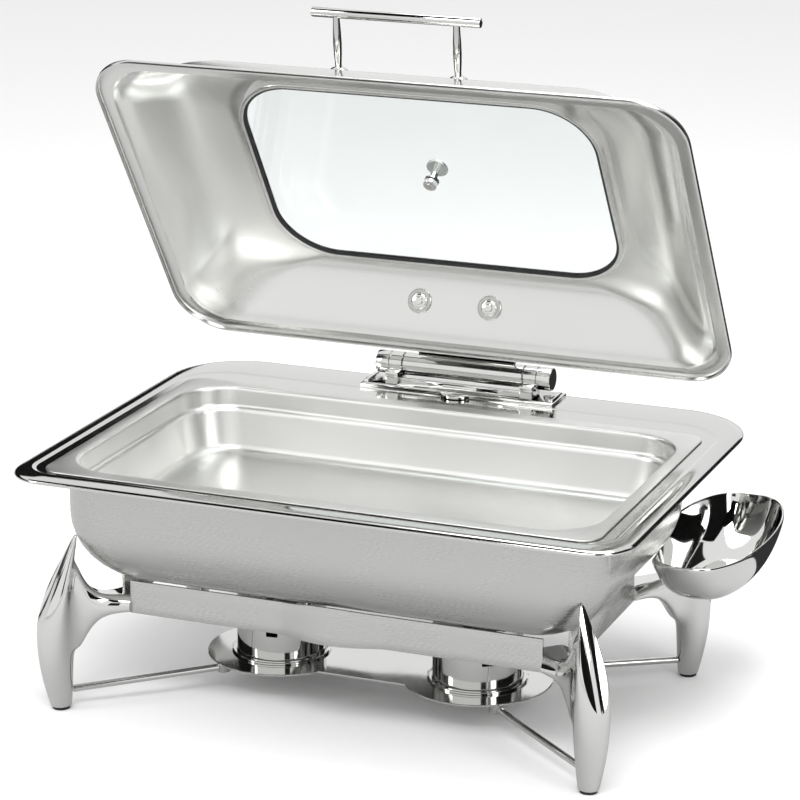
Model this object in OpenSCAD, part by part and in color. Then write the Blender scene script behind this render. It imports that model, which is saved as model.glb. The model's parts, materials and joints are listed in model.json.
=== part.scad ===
// Hinged-lid rectangular chafer with a window in the lid, on a horn-legged stand.
// The origin is on the floor under the middle of the food pan. X runs along the long side,
// +Y goes towards the hinge, and +Z is up. The lid is drawn closed and then turned open.

/* [Food pan] */
// Length of the food pan over its flange
food_len = 530; // [480:1:560]
// Width of the food pan over its flange
food_wid = 325; // [300:1:350]
// Width of the flange on the long ends
flange_end = 12.5; // [8:0.5:18]
// Width of the flange on the long sides
flange_side = 16; // [10:0.5:20]
// Depth of the food pan below its flange
food_depth = 65; // [40:1:75]
// Thickness of the food pan's sheet
food_gauge = 1; // [0.8:0.1:1.6]
// Inside corner radius of the food pan's mouth
food_corner = 50; // [30:1:60]

/* [Water pan] */
// Height of the water pan's outer edge above the floor
rim_z = 228; // [220:1:260]
// Depth of the water pan below its outer edge
water_depth = 111; // [95:1:120]
// Width of the rim beyond the food pan at the two ends
rim_end = 29.5; // [22:0.5:40]
// Width of the rim beyond the food pan at the front
rim_front = 20; // [16:0.5:30]
// Width of the shelf behind the food pan that carries the hinge
shelf_rear = 84.5; // [75:0.5:100]
// Corner radius of the rim at the front
rim_corner_front = 39; // [25:1:60]
// Corner radius of the rim at the rear
rim_corner_rear = 74; // [50:1:90]
// Radius between the walls and the bottom of the water pan
bottom_round = 70; // [40:1:75]
// Thickness of the water pan's sheet
water_gauge = 1.2; // [1:0.1:2]

/* [Lid] */
// How far the lid stands open
lid_open = 56.3; // [0:0.1:90]
// Height of the lid's dome above its rim
lid_height = 60; // [50:1:80]
// Corner radius of the lid's rim
lid_corner = 50; // [40:1:60]
// Width of the lid's flat rim band
lid_band = 12; // [8:0.5:16]
// Thickness of the lid's sheet
lid_gauge = 1.2; // [1:0.1:2]
// Gap between the closed lid and the rim under it
lid_gap = 0.5; // [0.3:0.1:1]

/* [Window] */
// Width of the lid's flat top beside the window at the two ends
window_end = 17; // [12:0.5:40]
// Width of the lid's flat top beside the window at the front
window_front = 12.3; // [9:0.1:30]
// Width of the lid's flat top beside the window at the rear
window_rear = 8.2; // [8.2:0.1:25]
// Corner radius of the clear window
window_corner = 54; // [30:1:70]
// Thickness of the glass
glass_t = 4; // [3:0.5:5]
// Diameter of the disc of the steam vent
vent_d = 21; // [14:1:30]
// Height of the vent's disc above the glass
vent_up = 17; // [6:1:25]

/* [Handle] */
// Length of the handle bar
bar_len = 163; // [120:1:200]
// Diameter of the handle bar
bar_d = 9; // [7:0.5:14]
// Distance between the two handle posts
post_gap = 116; // [80:1:140]
// Diameter of a handle post
post_d = 7; // [5:0.5:9]
// Length of a handle post
post_len = 54; // [40:1:70]

/* [Hinge] */
// Length of the hinge barrel between its end faces
barrel_len = 182; // [160:1:220]
// Diameter of the hinge barrel
barrel_d = 23; // [20:1:26]
// Diameter of the hinge pin
pin_d = 8; // [6:0.5:10]
// Length of the middle tube that turns with the lid
knuckle_len = 125; // [110:1:130]
// Distance of the hinge axis behind the rim of the lid
axis_back = 40.5; // [36:0.5:48]
// Height of the hinge axis above the shelf
axis_up = 19; // [17:0.5:24]
// Running clearance between the pin and its bushes
run_gap = 0.05; // [0.02:0.01:0.1]

/* [Stand] */
// How far the feet stand in from the ends of the rim
foot_in_x = 36.5; // [30:0.5:50]
// How far the feet stand in from the front of the rim
foot_in_y = 34; // [28:0.5:45]
// How far the front and rear aprons stand in from the feet
apron_in_y = 39; // [34:0.5:50]
// How far the end aprons stand in from the feet
apron_in_x = 38; // [34:0.5:50]
// Height of the lower edge of the aprons
apron_z = 89; // [80:1:95]
// Thickness of the aprons
apron_t = 2.5; // [2:0.1:4]
// How far the middle of the front apron bows out
bow_out = 11; // [5:0.5:16]
// Width of the bow in the apron
bow_w = 103; // [70:1:130]
// Diameter of the brace rods
rod_d = 6.5; // [5:0.5:9]

/* [Burner tray] */
// Distance between the two fuel holders
burner_gap = 198; // [180:1:220]
// Height of the tray's top face
tray_z = 29; // [25:1:34]
// Thickness of the tray
tray_t = 2; // [1.5:0.1:3]
// Radius of the tray's round ends
lobe_r = 70; // [62:1:78]
// Width of the tray's waist
waist_w = 86; // [60:1:100]
// Outer diameter of a fuel holder
holder_d = 84; // [76:1:90]
// Height of a fuel holder
holder_h = 58; // [50:1:60]

/* [Spoon rest] */
// Length of the spoon rest
dish_len = 232; // [180:1:240]
// Width of the spoon rest
dish_wid = 106; // [80:1:120]
// Height of the spoon rest's rim above the floor
dish_z = 150; // [140:1:160]
// Depth of the spoon rest
dish_depth = 52; // [40:1:58]

/* [Hidden] */
$fn = 64;
steps = 6;

// Half sizes and places that everything else is worked out from.
food_hx = food_len / 2;
food_hy = food_wid / 2;
mouth_hx = food_hx - flange_end;
mouth_hy = food_hy - flange_side;
ledge_z = rim_z + 5;
flange_top = ledge_z + 1.6;
shelf_z = rim_z + 6;
rim_hx = food_hx + rim_end;
rim_y0 = -food_hy - rim_front;
rim_y1 = food_hy + shelf_rear;
body_gap = 5.5;
body_hx = mouth_hx + body_gap + water_gauge;
body_y0 = -mouth_hy - body_gap - 1.8;
body_y1 = mouth_hy + body_gap;
body_corner = food_corner + 2;
pan_bottom = rim_z - water_depth;
side_clear = 0.3;
seat_gap = 0.1;

// The closed lid: its rim, its hinge axis and its window.
lid_hx = rim_hx - 9;
lid_y0 = rim_y0 + 0.5;
lid_y1 = food_hy + 22;
lid_z = shelf_z + lid_gap + 1;
axis_y = lid_y1 + axis_back;
axis_z = shelf_z + axis_up;
lid_mid = (lid_y0 + lid_y1) / 2;
// The lid's flat top starts this far in from its rim: at the ends, the front and the rear.
flat_in = [96, 60, 66];
window_len = 2 * (lid_hx - flat_in[0] - window_end);
window_y0 = lid_y0 + flat_in[1] + window_front;
window_y1 = lid_y1 - flat_in[2] - window_rear;
window_wid = window_y1 - window_y0;
window_y = (window_y0 + window_y1) / 2;
panel_z = lid_z + lid_height;

// The stand.
// A squarer pan bottom pushes the stand outwards.
stand_out = 0.3 * (70 - bottom_round);
fx = rim_hx - foot_in_x + stand_out;
fy = -rim_y0 - foot_in_y + stand_out;
apron_x = 2 * (fx - apron_in_x);
apron_y = 2 * (fy - apron_in_y);
pad_t = 3;
apron_top = pan_bottom + 9;
tray_low = tray_z - tray_t;

// ---------- shapes used by several pieces ----------

// One ring of a loft: a rounded rectangle at one height.
function arc_points(cx, cy, r, a0, z) =
    [for (i = [0:steps]) [cx + r * cos(a0 + 90 * i / steps), cy + r * sin(a0 + 90 * i / steps), z]];
function ring(hx, y0, y1, rf, rr, z) = concat(
    arc_points(-hx + rf, y0 + rf, rf, 180, z), arc_points(hx - rf, y0 + rf, rf, 270, z),
    arc_points(hx - rr, y1 - rr, rr, 0, z), arc_points(-hx + rr, y1 - rr, rr, 90, z));

// Joins rings into one solid. With closed = true the last ring joins the first.
module loft(rings, closed = false) {
    n = len(rings[0]);
    m = len(rings);
    walls = [for (j = [0:m - (closed ? 1 : 2)]) for (i = [0:n - 1])
        let (k = (j + 1) % m, a = (i + 1) % n) [j * n + i, k * n + i, k * n + a, j * n + a]];
    tris = [for (f = walls) each [[f[0], f[1], f[2]], [f[0], f[2], f[3]]]];
    caps = closed ? [] : [[for (i = [0:n - 1]) i], [for (i = [n - 1:-1:0]) (m - 1) * n + i]];
    polyhedron([for (r = rings) each r], concat(tris, caps), convexity = 6);
}

// A flat rounded rectangle, centred on X, from y0 to y1.
module plate2d(hx, y0, y1, r) {
    translate([-hx + r, y0]) square([2 * hx - 2 * r, y1 - y0]);
    translate([-hx, y0 + r]) square([2 * hx, y1 - y0 - 2 * r]);
    for (x = [-hx + r, hx - r], y = [y0 + r, y1 - r]) translate([x, y]) circle(r);
}

// A flat frame between two rounded rectangles.
module frame2d(hx, hy, r, wide) {
    difference() {
        plate2d(hx + wide, -hy - wide, hy + wide, r + wide);
        plate2d(hx, -hy, hy, r);
    }
}

// A round bar between two points.
module rod(a, b, d) {
    v = b - a;
    turn = atan2(v[1], v[0]);
    lean = atan2(sqrt(v[0] * v[0] + v[1] * v[1]), v[2]);
    translate(a) rotate([0, lean, turn]) cylinder(h = norm(v), d = d);
}

// Turns what was drawn on the closed lid to where the open lid is.
module opened() {
    translate([0, axis_y, axis_z]) rotate([-lid_open, 0, 0]) translate([0, -axis_y, -axis_z])
        children();
}

// Places a shape that was drawn along the hinge axis, from x = 0.
module on_axis(x) {
    translate([x, axis_y, axis_z]) rotate([0, 90, 0]) children();
}

// ---------- stand ----------

// Sections of the leg, upwards from the foot: height, middle, half depth, half width.
// The depth is measured outwards along the diagonal from the middle of the foot.
leg_sections = [
    [pad_t, -1, 9.5, 8.5], [9, 0, 11, 9.5], [20, 0.5, 12.7, 11], [40, 2.2, 15.2, 13],
    [60, 2.5, 16.8, 14.2], [80, 2.8, 16.8, 15], [98, -2.5, 18, 14.8], [114, -14.75, 24.25, 13.6],
    [128, -16.1, 18.8, 11.2], [141, -16.3, 11.9, 8.4], [153, -17.2, 6.2, 5.6], [162, -18.1, 2.1, 3.2],
    [167, -20, 0.8, 1.2]];
// Sections of the arm, inwards from the leg: distance, lowest, highest, half width.
arm_sections = [
    [-2, 54, 104, 11], [-12, 60, 111, 12], [-21, 73, 109, 12], [-30, 82, 105, 11.5],
    [-40, 87, 103, 11], [-52, apron_z + 0.5, 103, 12], [-62, apron_z + 0.5, 104, 16],
    [-72, apron_z + 0.5, 105, 19], [-84, apron_z + 0.5, 105, 23.5]];
leg_turn = atan2(1, 1);

function leg_ring(s, n = 20) =
    [for (i = [0:n - 1]) [s[1] + s[2] * cos(360 * i / n), s[3] * sin(360 * i / n), s[0]]];
function squared(v) = sign(v) * pow(abs(v), 0.6);
function arm_ring(s, n = 16) = [for (i = [0:n - 1])
    [s[0], s[3] * squared(cos(360 * i / n)),
     (s[1] + s[2]) / 2 + (s[2] - s[1]) / 2 * squared(sin(360 * i / n))]];

// The leg at +X and -Y, with the hollowed leaf-shaped cut on its outer face.
module leg_body() {
    difference() {
        translate([fx, -fy, 0]) rotate([0, 0, -leg_turn]) difference() {
            union() {
                loft([for (s = leg_sections) leg_ring(s)]);
                loft(flip([for (s = arm_sections) arm_ring(s)]));
            }
            leaf_cut();
        }
        apron_blanks();
        rod_at(1, -1);
        leg_screw_holes();
    }
}

// The hollow of the leaf-shaped cut, as a round gouge laid along the horn's outer face.
leaf_low = [17, 86];
leaf_high = [-17.5, 164];
leaf_r = 42;
leaf_lean = atan2(leaf_low[0] - leaf_high[0], leaf_high[1] - leaf_low[1]);
module leaf_cut() {
    translate([leaf_low[0], 0, leaf_low[1]]) rotate([0, -leaf_lean, 0])
        translate([leaf_r, 0, -20]) cylinder(h = 130, r = leaf_r, $fn = 96);
}

module leg_screw_holes() {
    for (s = screw_places()) {
        rod(s[0] - s[1], s[0] + s[1] * 30, stud_d);
        rod(s[0] + s[1] * nut_out, s[0] + s[1] * 30, nut_d + 1);
    }
}

// Brace rod of the corner given by the signs sx and sy.
rod_leg_in = 9;
rod_low = 17;
rod_high = tray_low - rod_d / 2;
rod_tray_x = burner_gap / 2 + 43;
rod_tray_y = 56;
module rod_at(sx, sy) {
    rod([sx * (fx - rod_leg_in), sy * (fy - rod_leg_in), rod_low],
        [sx * (rod_tray_x - 14), sy * (rod_tray_y - 11), rod_high], rod_d);
}

module foot_pads() {
    color("black") for (sx = [-1, 1], sy = [-1, 1])
        translate([sx * (fx - 0.7), sy * (fy - 0.7), 0]) {
            cylinder(h = pad_t, d = 16);
        }
}

// Front and rear aprons: flat ends and a bowed middle, as one outline.
apron_hx = apron_x / 2 - 19;
bow_half = bow_w / 2;
bow_steps = 14;
function bow(x) = abs(x) > bow_half ? 0 : bow_out * pow(cos(90 * x / bow_half), 1.2);
bow_line = [for (i = [0:bow_steps]) let (x = -bow_half + bow_w * i / bow_steps) [x, -bow(x)]];
function shift(list, dy) = [for (p = list) [p[0], p[1] + dy]];
function flip(list) = [for (i = [len(list) - 1:-1:0]) list[i]];
apron_line = concat([[-apron_hx, 0]], bow_line, [[apron_hx, 0]]);
module apron_long() {
    translate([0, -apron_y / 2, apron_z]) linear_extrude(apron_top - apron_z)
        polygon(concat(apron_line, flip(shift(apron_line, apron_t))));
}
module apron_end() {
    hy = apron_y / 2 - 19;
    translate([apron_x / 2 - apron_t, -hy, apron_z]) cube([apron_t, 2 * hy, apron_top - apron_z]);
}
// The four aprons together, as the legs' arms are slotted over their ends.
module apron_blanks() {
    apron_long();
    mirror([0, 1, 0]) apron_long();
    apron_end();
    mirror([1, 0, 0]) apron_end();
}

// The pan rests on the aprons, so their top edges are cut to its rounded bottom.
module seat_cut() {
    water_solid(side_clear);
}

// A stud and a nut hold each arm to the ends of its two aprons: place and direction.
screw_z = apron_z + 8;
stud_d = 4;
stud_len = 14;
nut_d = 8;
nut_out = 8;
nut_t = 4;
function screw_places() = [
    [[apron_x / 2 - 30, -apron_y / 2 + apron_t, screw_z], [0, 1, 0]],
    [[apron_x / 2 - apron_t, -apron_y / 2 + 30, screw_z], [-1, 0, 0]]];
module corner_studs() {
    for (s = screw_places()) rod(s[0] - s[1] * apron_t / 2, s[0] + s[1] * stud_len, stud_d);
}
module each_corner() {
    for (sx = [0, 1], sy = [0, 1]) mirror([sx, 0, 0]) mirror([0, sy, 0]) children();
}
module apron_screws() {
    color("silver") each_corner() {
        corner_studs();
        for (s = screw_places()) rod(s[0] + s[1] * nut_out, s[0] + s[1] * (nut_out + nut_t), nut_d);
    }
}

module leg_front_right() { color("gainsboro") leg_body(); }
module leg_front_left() { color("gainsboro") mirror([1, 0, 0]) leg_body(); }
module leg_rear_left() {
    color("gainsboro") mirror([1, 0, 0]) mirror([0, 1, 0]) leg_body();
}
// This leg ends under the spoon rest that it carries.
module leg_rear_right() {
    color("gainsboro") difference() {
        mirror([0, 1, 0]) leg_body();
        dish_blank();
    }
}

module front_apron() {
    color("lightgray") difference() {
        apron_long();
        seat_cut();
        each_corner() corner_studs();
    }
}
module rear_apron() {
    color("lightgray") difference() {
        mirror([0, 1, 0]) apron_long();
        seat_cut();
        each_corner() corner_studs();
    }
}
module right_apron() {
    color("lightgray") difference() {
        apron_end();
        seat_cut();
        each_corner() corner_studs();
    }
}
module left_apron() {
    color("lightgray") difference() {
        mirror([1, 0, 0]) apron_end();
        seat_cut();
        each_corner() corner_studs();
    }
}

// ---------- spoon rest ----------

dish_x = fx + 25;
dish_y = fy - 2;
dish_wall = 3;
// The long sides of the dish are flatter than those of a true ellipse.
function flattened(v) = sign(v) * pow(abs(v), 0.72);
function dish_ring(a, b, z, n = 36) =
    [for (i = [0:n - 1]) [dish_x + a * flattened(cos(360 * i / n)), dish_y + b * sin(360 * i / n), z]];
// Share of the full width and length at each share of the depth.
dish_profile = [[0, 0.34], [0.04, 0.48], [0.14, 0.64], [0.32, 0.79], [0.56, 0.9], [0.8, 0.97], [1, 1]];
function dish_rings(inset, lift) = [for (p = dish_profile)
    dish_ring((dish_wid / 2 - inset) * p[1], (dish_len / 2 - inset) * p[1],
              dish_z - (dish_depth - lift) * (1 - p[0]))];
module dish_blank() {
    loft(concat(dish_rings(0, 0), [dish_ring(dish_wid / 2, dish_len / 2, dish_z + 60)]));
}
module spoon_rest() {
    color("gainsboro") difference() {
        loft(concat(dish_rings(0, 0), flip(dish_rings(dish_wall, dish_wall))));
        water_solid(1.5);
        apron_end();
    }
}

// ---------- burner tray and fuel holders ----------

fillet_r = 30;
fillet_bite = 0.15;
fillet_y = waist_w / 2 + fillet_r - fillet_bite;
fillet_x = burner_gap / 2 - sqrt(pow(lobe_r + fillet_r - fillet_bite, 2) - pow(fillet_y, 2));
module tray2d() {
    for (s = [-1, 1]) translate([s * burner_gap / 2, 0]) circle(lobe_r, $fn = 96);
    square([burner_gap, waist_w], center = true);
    for (sx = [0, 1], sy = [0, 1]) mirror([sx, 0]) mirror([0, sy]) difference() {
        polygon([[fillet_x, 0], [burner_gap / 2, 0], [fillet_x, fillet_y]]);
        translate([fillet_x, fillet_y]) circle(fillet_r);
    }
}
module burner_tray() {
    color("gainsboro") translate([0, 0, tray_low]) linear_extrude(tray_t) tray2d();
}

module brace_rod_front_left() { color("silver") rod_at(-1, -1); }
module brace_rod_front_right() { color("silver") rod_at(1, -1); }
module brace_rod_rear_left() { color("silver") rod_at(-1, 1); }
module brace_rod_rear_right() { color("silver") rod_at(1, 1); }

// Saddles that clip each brace rod to the underside of the tray.
module brace_screws() {
    color("silver") for (sx = [-1, 1], sy = [-1, 1]) difference() {
        translate([sx * (rod_tray_x - 6), sy * (rod_tray_y - 5), tray_low - rod_d - 1.5])
            cylinder(h = rod_d + 1.5, d = 13);
        rod_at(sx, sy);
    }
}

ring_clear = 0.4;
module holder_rings() {
    color("silver") for (s = [-1, 1]) translate([s * burner_gap / 2, 0, tray_z])
        difference() {
            cylinder(h = 2.5, d = holder_d + 10);
            translate([0, 0, -1]) cylinder(h = 5, d = holder_d + 2 * ring_clear);
        }
}

holder_wall = 1.2;
slot_w = 11;
slot_low = 26;
slot_h = 9;
module fuel_holder(s, slot_turn) {
    translate([s * burner_gap / 2, 0, tray_z]) difference() {
        union() {
            cylinder(h = holder_h, d = holder_d);
            translate([-6, 0, holder_h - 6]) cube([12, holder_d / 2 + 6, 6]);
        }
        translate([0, 0, holder_wall]) cylinder(h = holder_h, d = holder_d - 2 * holder_wall);
        rotate([0, 0, slot_turn - 90]) translate([holder_d / 2 - 6, -slot_w / 2, slot_low])
            cube([12, slot_w, slot_h]);
        translate([0, pivot_r, holder_h - 7]) cylinder(h = 8, d = pivot_d);
    }
}
module fuel_holder_left() { color("gainsboro") fuel_holder(-1, 11); }
module fuel_holder_right() { color("gainsboro") fuel_holder(1, 33); }

// Each snuffer cover swings on an upright pivot behind its holder.
pivot_r = holder_d / 2 + 3;
pivot_d = 4;
cover_t = 1.2;
cover_gap = 0.4;
cover_low = tray_z + holder_h + cover_gap;
module cover_pivot(s) {
    translate([s * burner_gap / 2, pivot_r, tray_z + holder_h - 6]) {
        cylinder(h = 6 + cover_gap + cover_t + 0.4, d = pivot_d);
        translate([0, 0, 6 + cover_gap + cover_t + 0.4]) cylinder(h = 1.2, d = 7);
    }
}
module snuffer_cover(s) {
    translate([s * burner_gap / 2, 0, cover_low]) difference() {
        union() {
            cylinder(h = cover_t, d = holder_d + 1);
            translate([-5.5, 0, 0]) cube([11, pivot_r, cover_t]);
            translate([0, pivot_r, 0]) cylinder(h = cover_t, d = 11);
        }
        translate([0, pivot_r, -1]) cylinder(h = 4, d = pivot_d + 2 * run_gap);
        translate([0, -knob_y, -1]) cylinder(h = 4, d = 3);
    }
}
knob_y = 26;
module cover_knob(s) {
    translate([s * burner_gap / 2, -knob_y, cover_low]) {
        cylinder(h = cover_t + 3, d = 3);
        translate([0, 0, cover_t]) cylinder(h = 2, d = 6);
        translate([0, 0, cover_t + 2]) cylinder(h = 3.5, d = 10);
    }
}
module cover_pivot_left() { color("silver") cover_pivot(-1); }
module cover_pivot_right() { color("silver") cover_pivot(1); }
module snuffer_cover_left() { color("gainsboro") snuffer_cover(-1); }
module snuffer_cover_right() { color("gainsboro") snuffer_cover(1); }
module cover_knob_left() { color("silver") cover_knob(-1); }
module cover_knob_right() { color("silver") cover_knob(1); }

// ---------- water pan ----------

// The body's ring at one height, taken in by an inset.
function body_ring(inset, z) = ring(body_hx - inset, body_y0 + inset, body_y1 - inset,
    max(body_corner - 0.45 * inset, 12), max(body_corner - 0.45 * inset, 12), z);
// The rounded bottom from its flat up to the walls, grown by grow.
round_steps = 6;
function bottom_rings(grow) = [for (i = [0:round_steps]) let (a = 90 * i / round_steps)
    body_ring(bottom_round * (1 - sin(a)) - grow, pan_bottom - grow + bottom_round * (1 - cos(a)))];

module water_solid(grow) {
    loft(concat(bottom_rings(grow), [body_ring(-grow, rim_z + 30)]));
}
module water_pan() {
    edge = [ring(rim_hx, rim_y0, rim_y1, rim_corner_front, rim_corner_rear, rim_z),
        ring(rim_hx, rim_y0, rim_y1, rim_corner_front, rim_corner_rear, rim_z + 3)];
    bead = [ring(rim_hx - 2.5, rim_y0 + 2.5, rim_y1 - 2.5, rim_corner_front - 2,
                 rim_corner_rear - 2, rim_z + 5),
        ring(rim_hx - 8, rim_y0 + 8, rim_y1 - 8, rim_corner_front - 6, rim_corner_rear - 7,
             shelf_z)];
    ledge = [ring(food_hx + 14, -food_hy - 6, food_hy + 31, 34, 48, shelf_z),
        ring(food_hx + 9, -food_hy - 3.5, food_hy + 28, 32, 46, ledge_z),
        ring(mouth_hx + body_gap, -mouth_hy - body_gap - 1, mouth_hy + body_gap - 1,
             body_corner, body_corner, ledge_z)];
    under = [ring(body_hx + 5, body_y0 - 3, body_y1 + 3, body_corner, body_corner, ledge_z - 5),
        ring(rim_hx - 3, rim_y0 + 3, rim_y1 - 3, rim_corner_front - 2, rim_corner_rear - 2,
             rim_z + 1)];
    color("lightgray") loft(concat(
        bottom_rings(0), [body_ring(0, ledge_z - 8)], under, edge, bead, ledge,
        [for (r = flip(bottom_rings(-water_gauge))) r]));
}

// ---------- food pan ----------

food_bottom = flange_top - food_depth;
food_taper = 9;
function food_ring(inset, z) = ring(mouth_hx - inset, -mouth_hy + inset, mouth_hy - inset,
    max(food_corner - 0.8 * inset, 10), max(food_corner - 0.8 * inset, 10), z);
// Outside of the bowl with grow = 0, inside of it with grow = food_gauge.
function food_wall(g) = [
    food_ring(food_taper + 16 + g, food_bottom + g), food_ring(food_taper + 6 + g, food_bottom + 3 + g),
    food_ring(food_taper + 1.5 + g, food_bottom + 11 + g), food_ring(3 + g, flange_top - 23),
    food_ring(0.3 + g, flange_top - 20)];
module food_pan() {
    flange = [food_ring(0.3, flange_top - 3.2), food_ring(-1, ledge_z + seat_gap),
        ring(food_hx - 0.8, -food_hy + 0.8, food_hy - 0.8, 18, 18, ledge_z + seat_gap),
        ring(food_hx, -food_hy, food_hy, 19, 19, ledge_z + 0.8),
        ring(food_hx - 0.8, -food_hy + 0.8, food_hy - 0.8, 18, 18, flange_top),
        food_ring(-1.2, flange_top), food_ring(1, flange_top - 2)];
    color("silver") loft(concat(food_wall(0), flange, flip(food_wall(food_gauge))));
}

// ---------- hinge on the pan's shelf ----------

plate_t = 2.5;
plate_hx = barrel_len / 2 + 9;
plate_y0 = axis_y - 29;
plate_y1 = axis_y + 14;
plate_top = shelf_z + plate_t;
module hinge_base_plate() {
    color("gainsboro") difference() {
        union() {
            translate([0, 0, shelf_z]) linear_extrude(plate_t) {
                plate2d(plate_hx, plate_y0, plate_y1, 8);
                for (s = [-1, 1]) translate([s * 14, plate_y0]) circle(6);
                translate([-14, plate_y0 - 6]) square([28, 12]);
            }
            for (s = [-1, 1]) translate([s * (plate_hx - 4) - 1.5, plate_y0 + 8, plate_top])
                cube([3, plate_y1 - plate_y0 - 16, 3]);
        }
        for (s = [-1, 1]) translate([s * (plate_hx - 12), axis_y - 8, shelf_z - 1])
            cylinder(h = 6, d = 4.2);
    }
}
module hinge_base_screws() {
    color("silver") for (s = [-1, 1]) translate([s * (plate_hx - 12), axis_y - 8, shelf_z]) {
        cylinder(h = plate_t, d = 4.2);
        translate([0, 0, plate_t]) cylinder(h = 2, d = 8);
    }
}

post_w = 13.5;
post_in = knuckle_len / 2 + 0.6;
post_y = axis_y - barrel_d / 2 - 9.5;
module hinge_post(s) {
    difference() {
        union() {
            translate([s > 0 ? post_in : -post_in - post_w, post_y, plate_top])
                cube([post_w, axis_y - post_y + 3, axis_z - plate_top]);
            on_axis(s > 0 ? post_in : -post_in - post_w) cylinder(h = post_w, d = barrel_d);
        }
        on_axis(s > 0 ? post_in - 1 : -post_in - post_w - 1) cylinder(h = post_w + 2, d = pin_d);
        // Room for the arm and the barrel as they turn.
        translate([s > 0 ? post_in - 1 : -post_in - post_w - 1, post_y - 1, axis_z - 4])
            cube([post_w + 2, 9, 20]);
    }
}
module hinge_post_left() { color("gainsboro") hinge_post(-1); }
module hinge_post_right() { color("gainsboro") hinge_post(1); }

// The slotted leaf that closes the space between the posts.
leaf_y = post_y + 4;
leaf_top = axis_z - barrel_d / 2 + 1.5;
module hinge_front_leaf() {
    color("gainsboro") difference() {
        translate([-post_in, leaf_y, plate_top]) cube([2 * post_in, 2, leaf_top - plate_top]);
        translate([-18, leaf_y - 1, plate_top + 1.4]) cube([36, 4, 2.6]);
    }
}

module hinge_pin() {
    color("silver") on_axis(-barrel_len / 2 + 3) cylinder(h = barrel_len - 6, d = pin_d);
}
cap_in = post_in + post_w;
cap_len = barrel_len / 2 - cap_in;
module end_cap() {
    difference() {
        on_axis(cap_in) {
            cylinder(h = cap_len - 1.5, d = barrel_d);
            translate([0, 0, cap_len - 1.5]) cylinder(h = 1.5, d1 = barrel_d, d2 = barrel_d - 3);
        }
        on_axis(cap_in - 1) cylinder(h = barrel_len / 2 - 3 - cap_in + 1, d = pin_d);
    }
}
module hinge_end_cap_right() { color("gainsboro") end_cap(); }
module hinge_end_cap_left() { color("gainsboro") mirror([1, 0, 0]) end_cap(); }

// ---------- parts of the hinge that turn with the lid ----------

tube_wall = 2.2;
tube_in = barrel_d - 2 * tube_wall;
bush_len = 9;
module hinge_barrel() {
    color("gainsboro") opened() difference() {
        on_axis(-knuckle_len / 2) cylinder(h = knuckle_len, d = barrel_d);
        on_axis(-knuckle_len / 2 - 1) cylinder(h = knuckle_len + 2, d = tube_in);
    }
}
module hinge_bushes() {
    color("ivory") opened() for (x = [-knuckle_len / 2, knuckle_len / 2 - bush_len]) difference() {
        on_axis(x) cylinder(h = bush_len, d = tube_in);
        on_axis(x - 1) cylinder(h = bush_len + 2, d = pin_d + 2 * run_gap);
    }
}
damper_in = 4;
damper_len = knuckle_len / 2 - bush_len - damper_in;
module hinge_damper() {
    color("dimgray") opened() difference() {
        on_axis(damper_in) cylinder(h = damper_len, d = tube_in);
        on_axis(damper_in - 1) cylinder(h = damper_len + 2, d = pin_d + 4 * run_gap);
    }
}
coils = 12;
wire_d = 2;
coil_r = (tube_in + pin_d) / 4 + 0.5;
coil_len = knuckle_len / 2 - bush_len - 6;
module hinge_spring() {
    color("dimgray") opened() for (i = [0:coils - 1])
        on_axis(-knuckle_len / 2 + bush_len + 2 + coil_len * i / coils)
            rotate_extrude() translate([coil_r, 0]) circle(d = wire_d, $fn = 24);
}

// The rear wall of the lid is straight where the arm is bolted to it.
wall_in0 = 20;
wall_up0 = 14;
wall_in1 = 46;
wall_up1 = 45;
wall_span = norm([wall_in1 - wall_in0, wall_up1 - wall_up0]);
wall_dir = [-(wall_in1 - wall_in0) / wall_span, (wall_up1 - wall_up0) / wall_span];
wall_out = [wall_dir[1], -wall_dir[0]];
function on_wall(s, out) = [lid_y1 - wall_in0, lid_z + wall_up0] + s * wall_dir + out * wall_out;
arm_t = 3.5;
arm_hx = 50;
arm_up = barrel_d / 2;
bolt_s = 26;
bolt_x = 36;
module arm2d() {
    polygon([[axis_y, axis_z + arm_up - arm_t], [axis_y, axis_z + arm_up],
             on_wall(14, 6) + [0, 3], on_wall(12, arm_t)]);
    polygon([on_wall(8, 0.1), on_wall(8, arm_t), on_wall(39, arm_t), on_wall(39, 0.1)]);
}
// Stands a drawing made in the YZ plane up and gives it a width along X.
module across(x0, x1) {
    translate([x0, 0, 0]) rotate([90, 0, 90]) linear_extrude(x1 - x0) children();
}
module hinge_arm() {
    color("gainsboro") opened() difference() {
        union() {
            across(-arm_hx, arm_hx) arm2d();
            for (x = [-arm_hx, arm_hx - 3]) across(x, x + 3)
                polygon([[axis_y - 8, axis_z + arm_up - 2], on_wall(14, 5), on_wall(30, 3),
                         on_wall(30, 6)]);
        }
        on_axis(-arm_hx - 1) cylinder(h = 2 * arm_hx + 2, d = barrel_d);
        for (x = [-bolt_x, bolt_x]) bolt_axis(x, -3) cylinder(h = 12, d = 6);
    }
}
// Places a shape on a bolt's axis, starting at a distance out from the lid's wall.
module bolt_axis(x, out) {
    p = on_wall(bolt_s, out);
    translate([x, p[0], p[1]]) rotate([-atan2(wall_out[0], wall_out[1]), 0, 0]) children();
}
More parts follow.
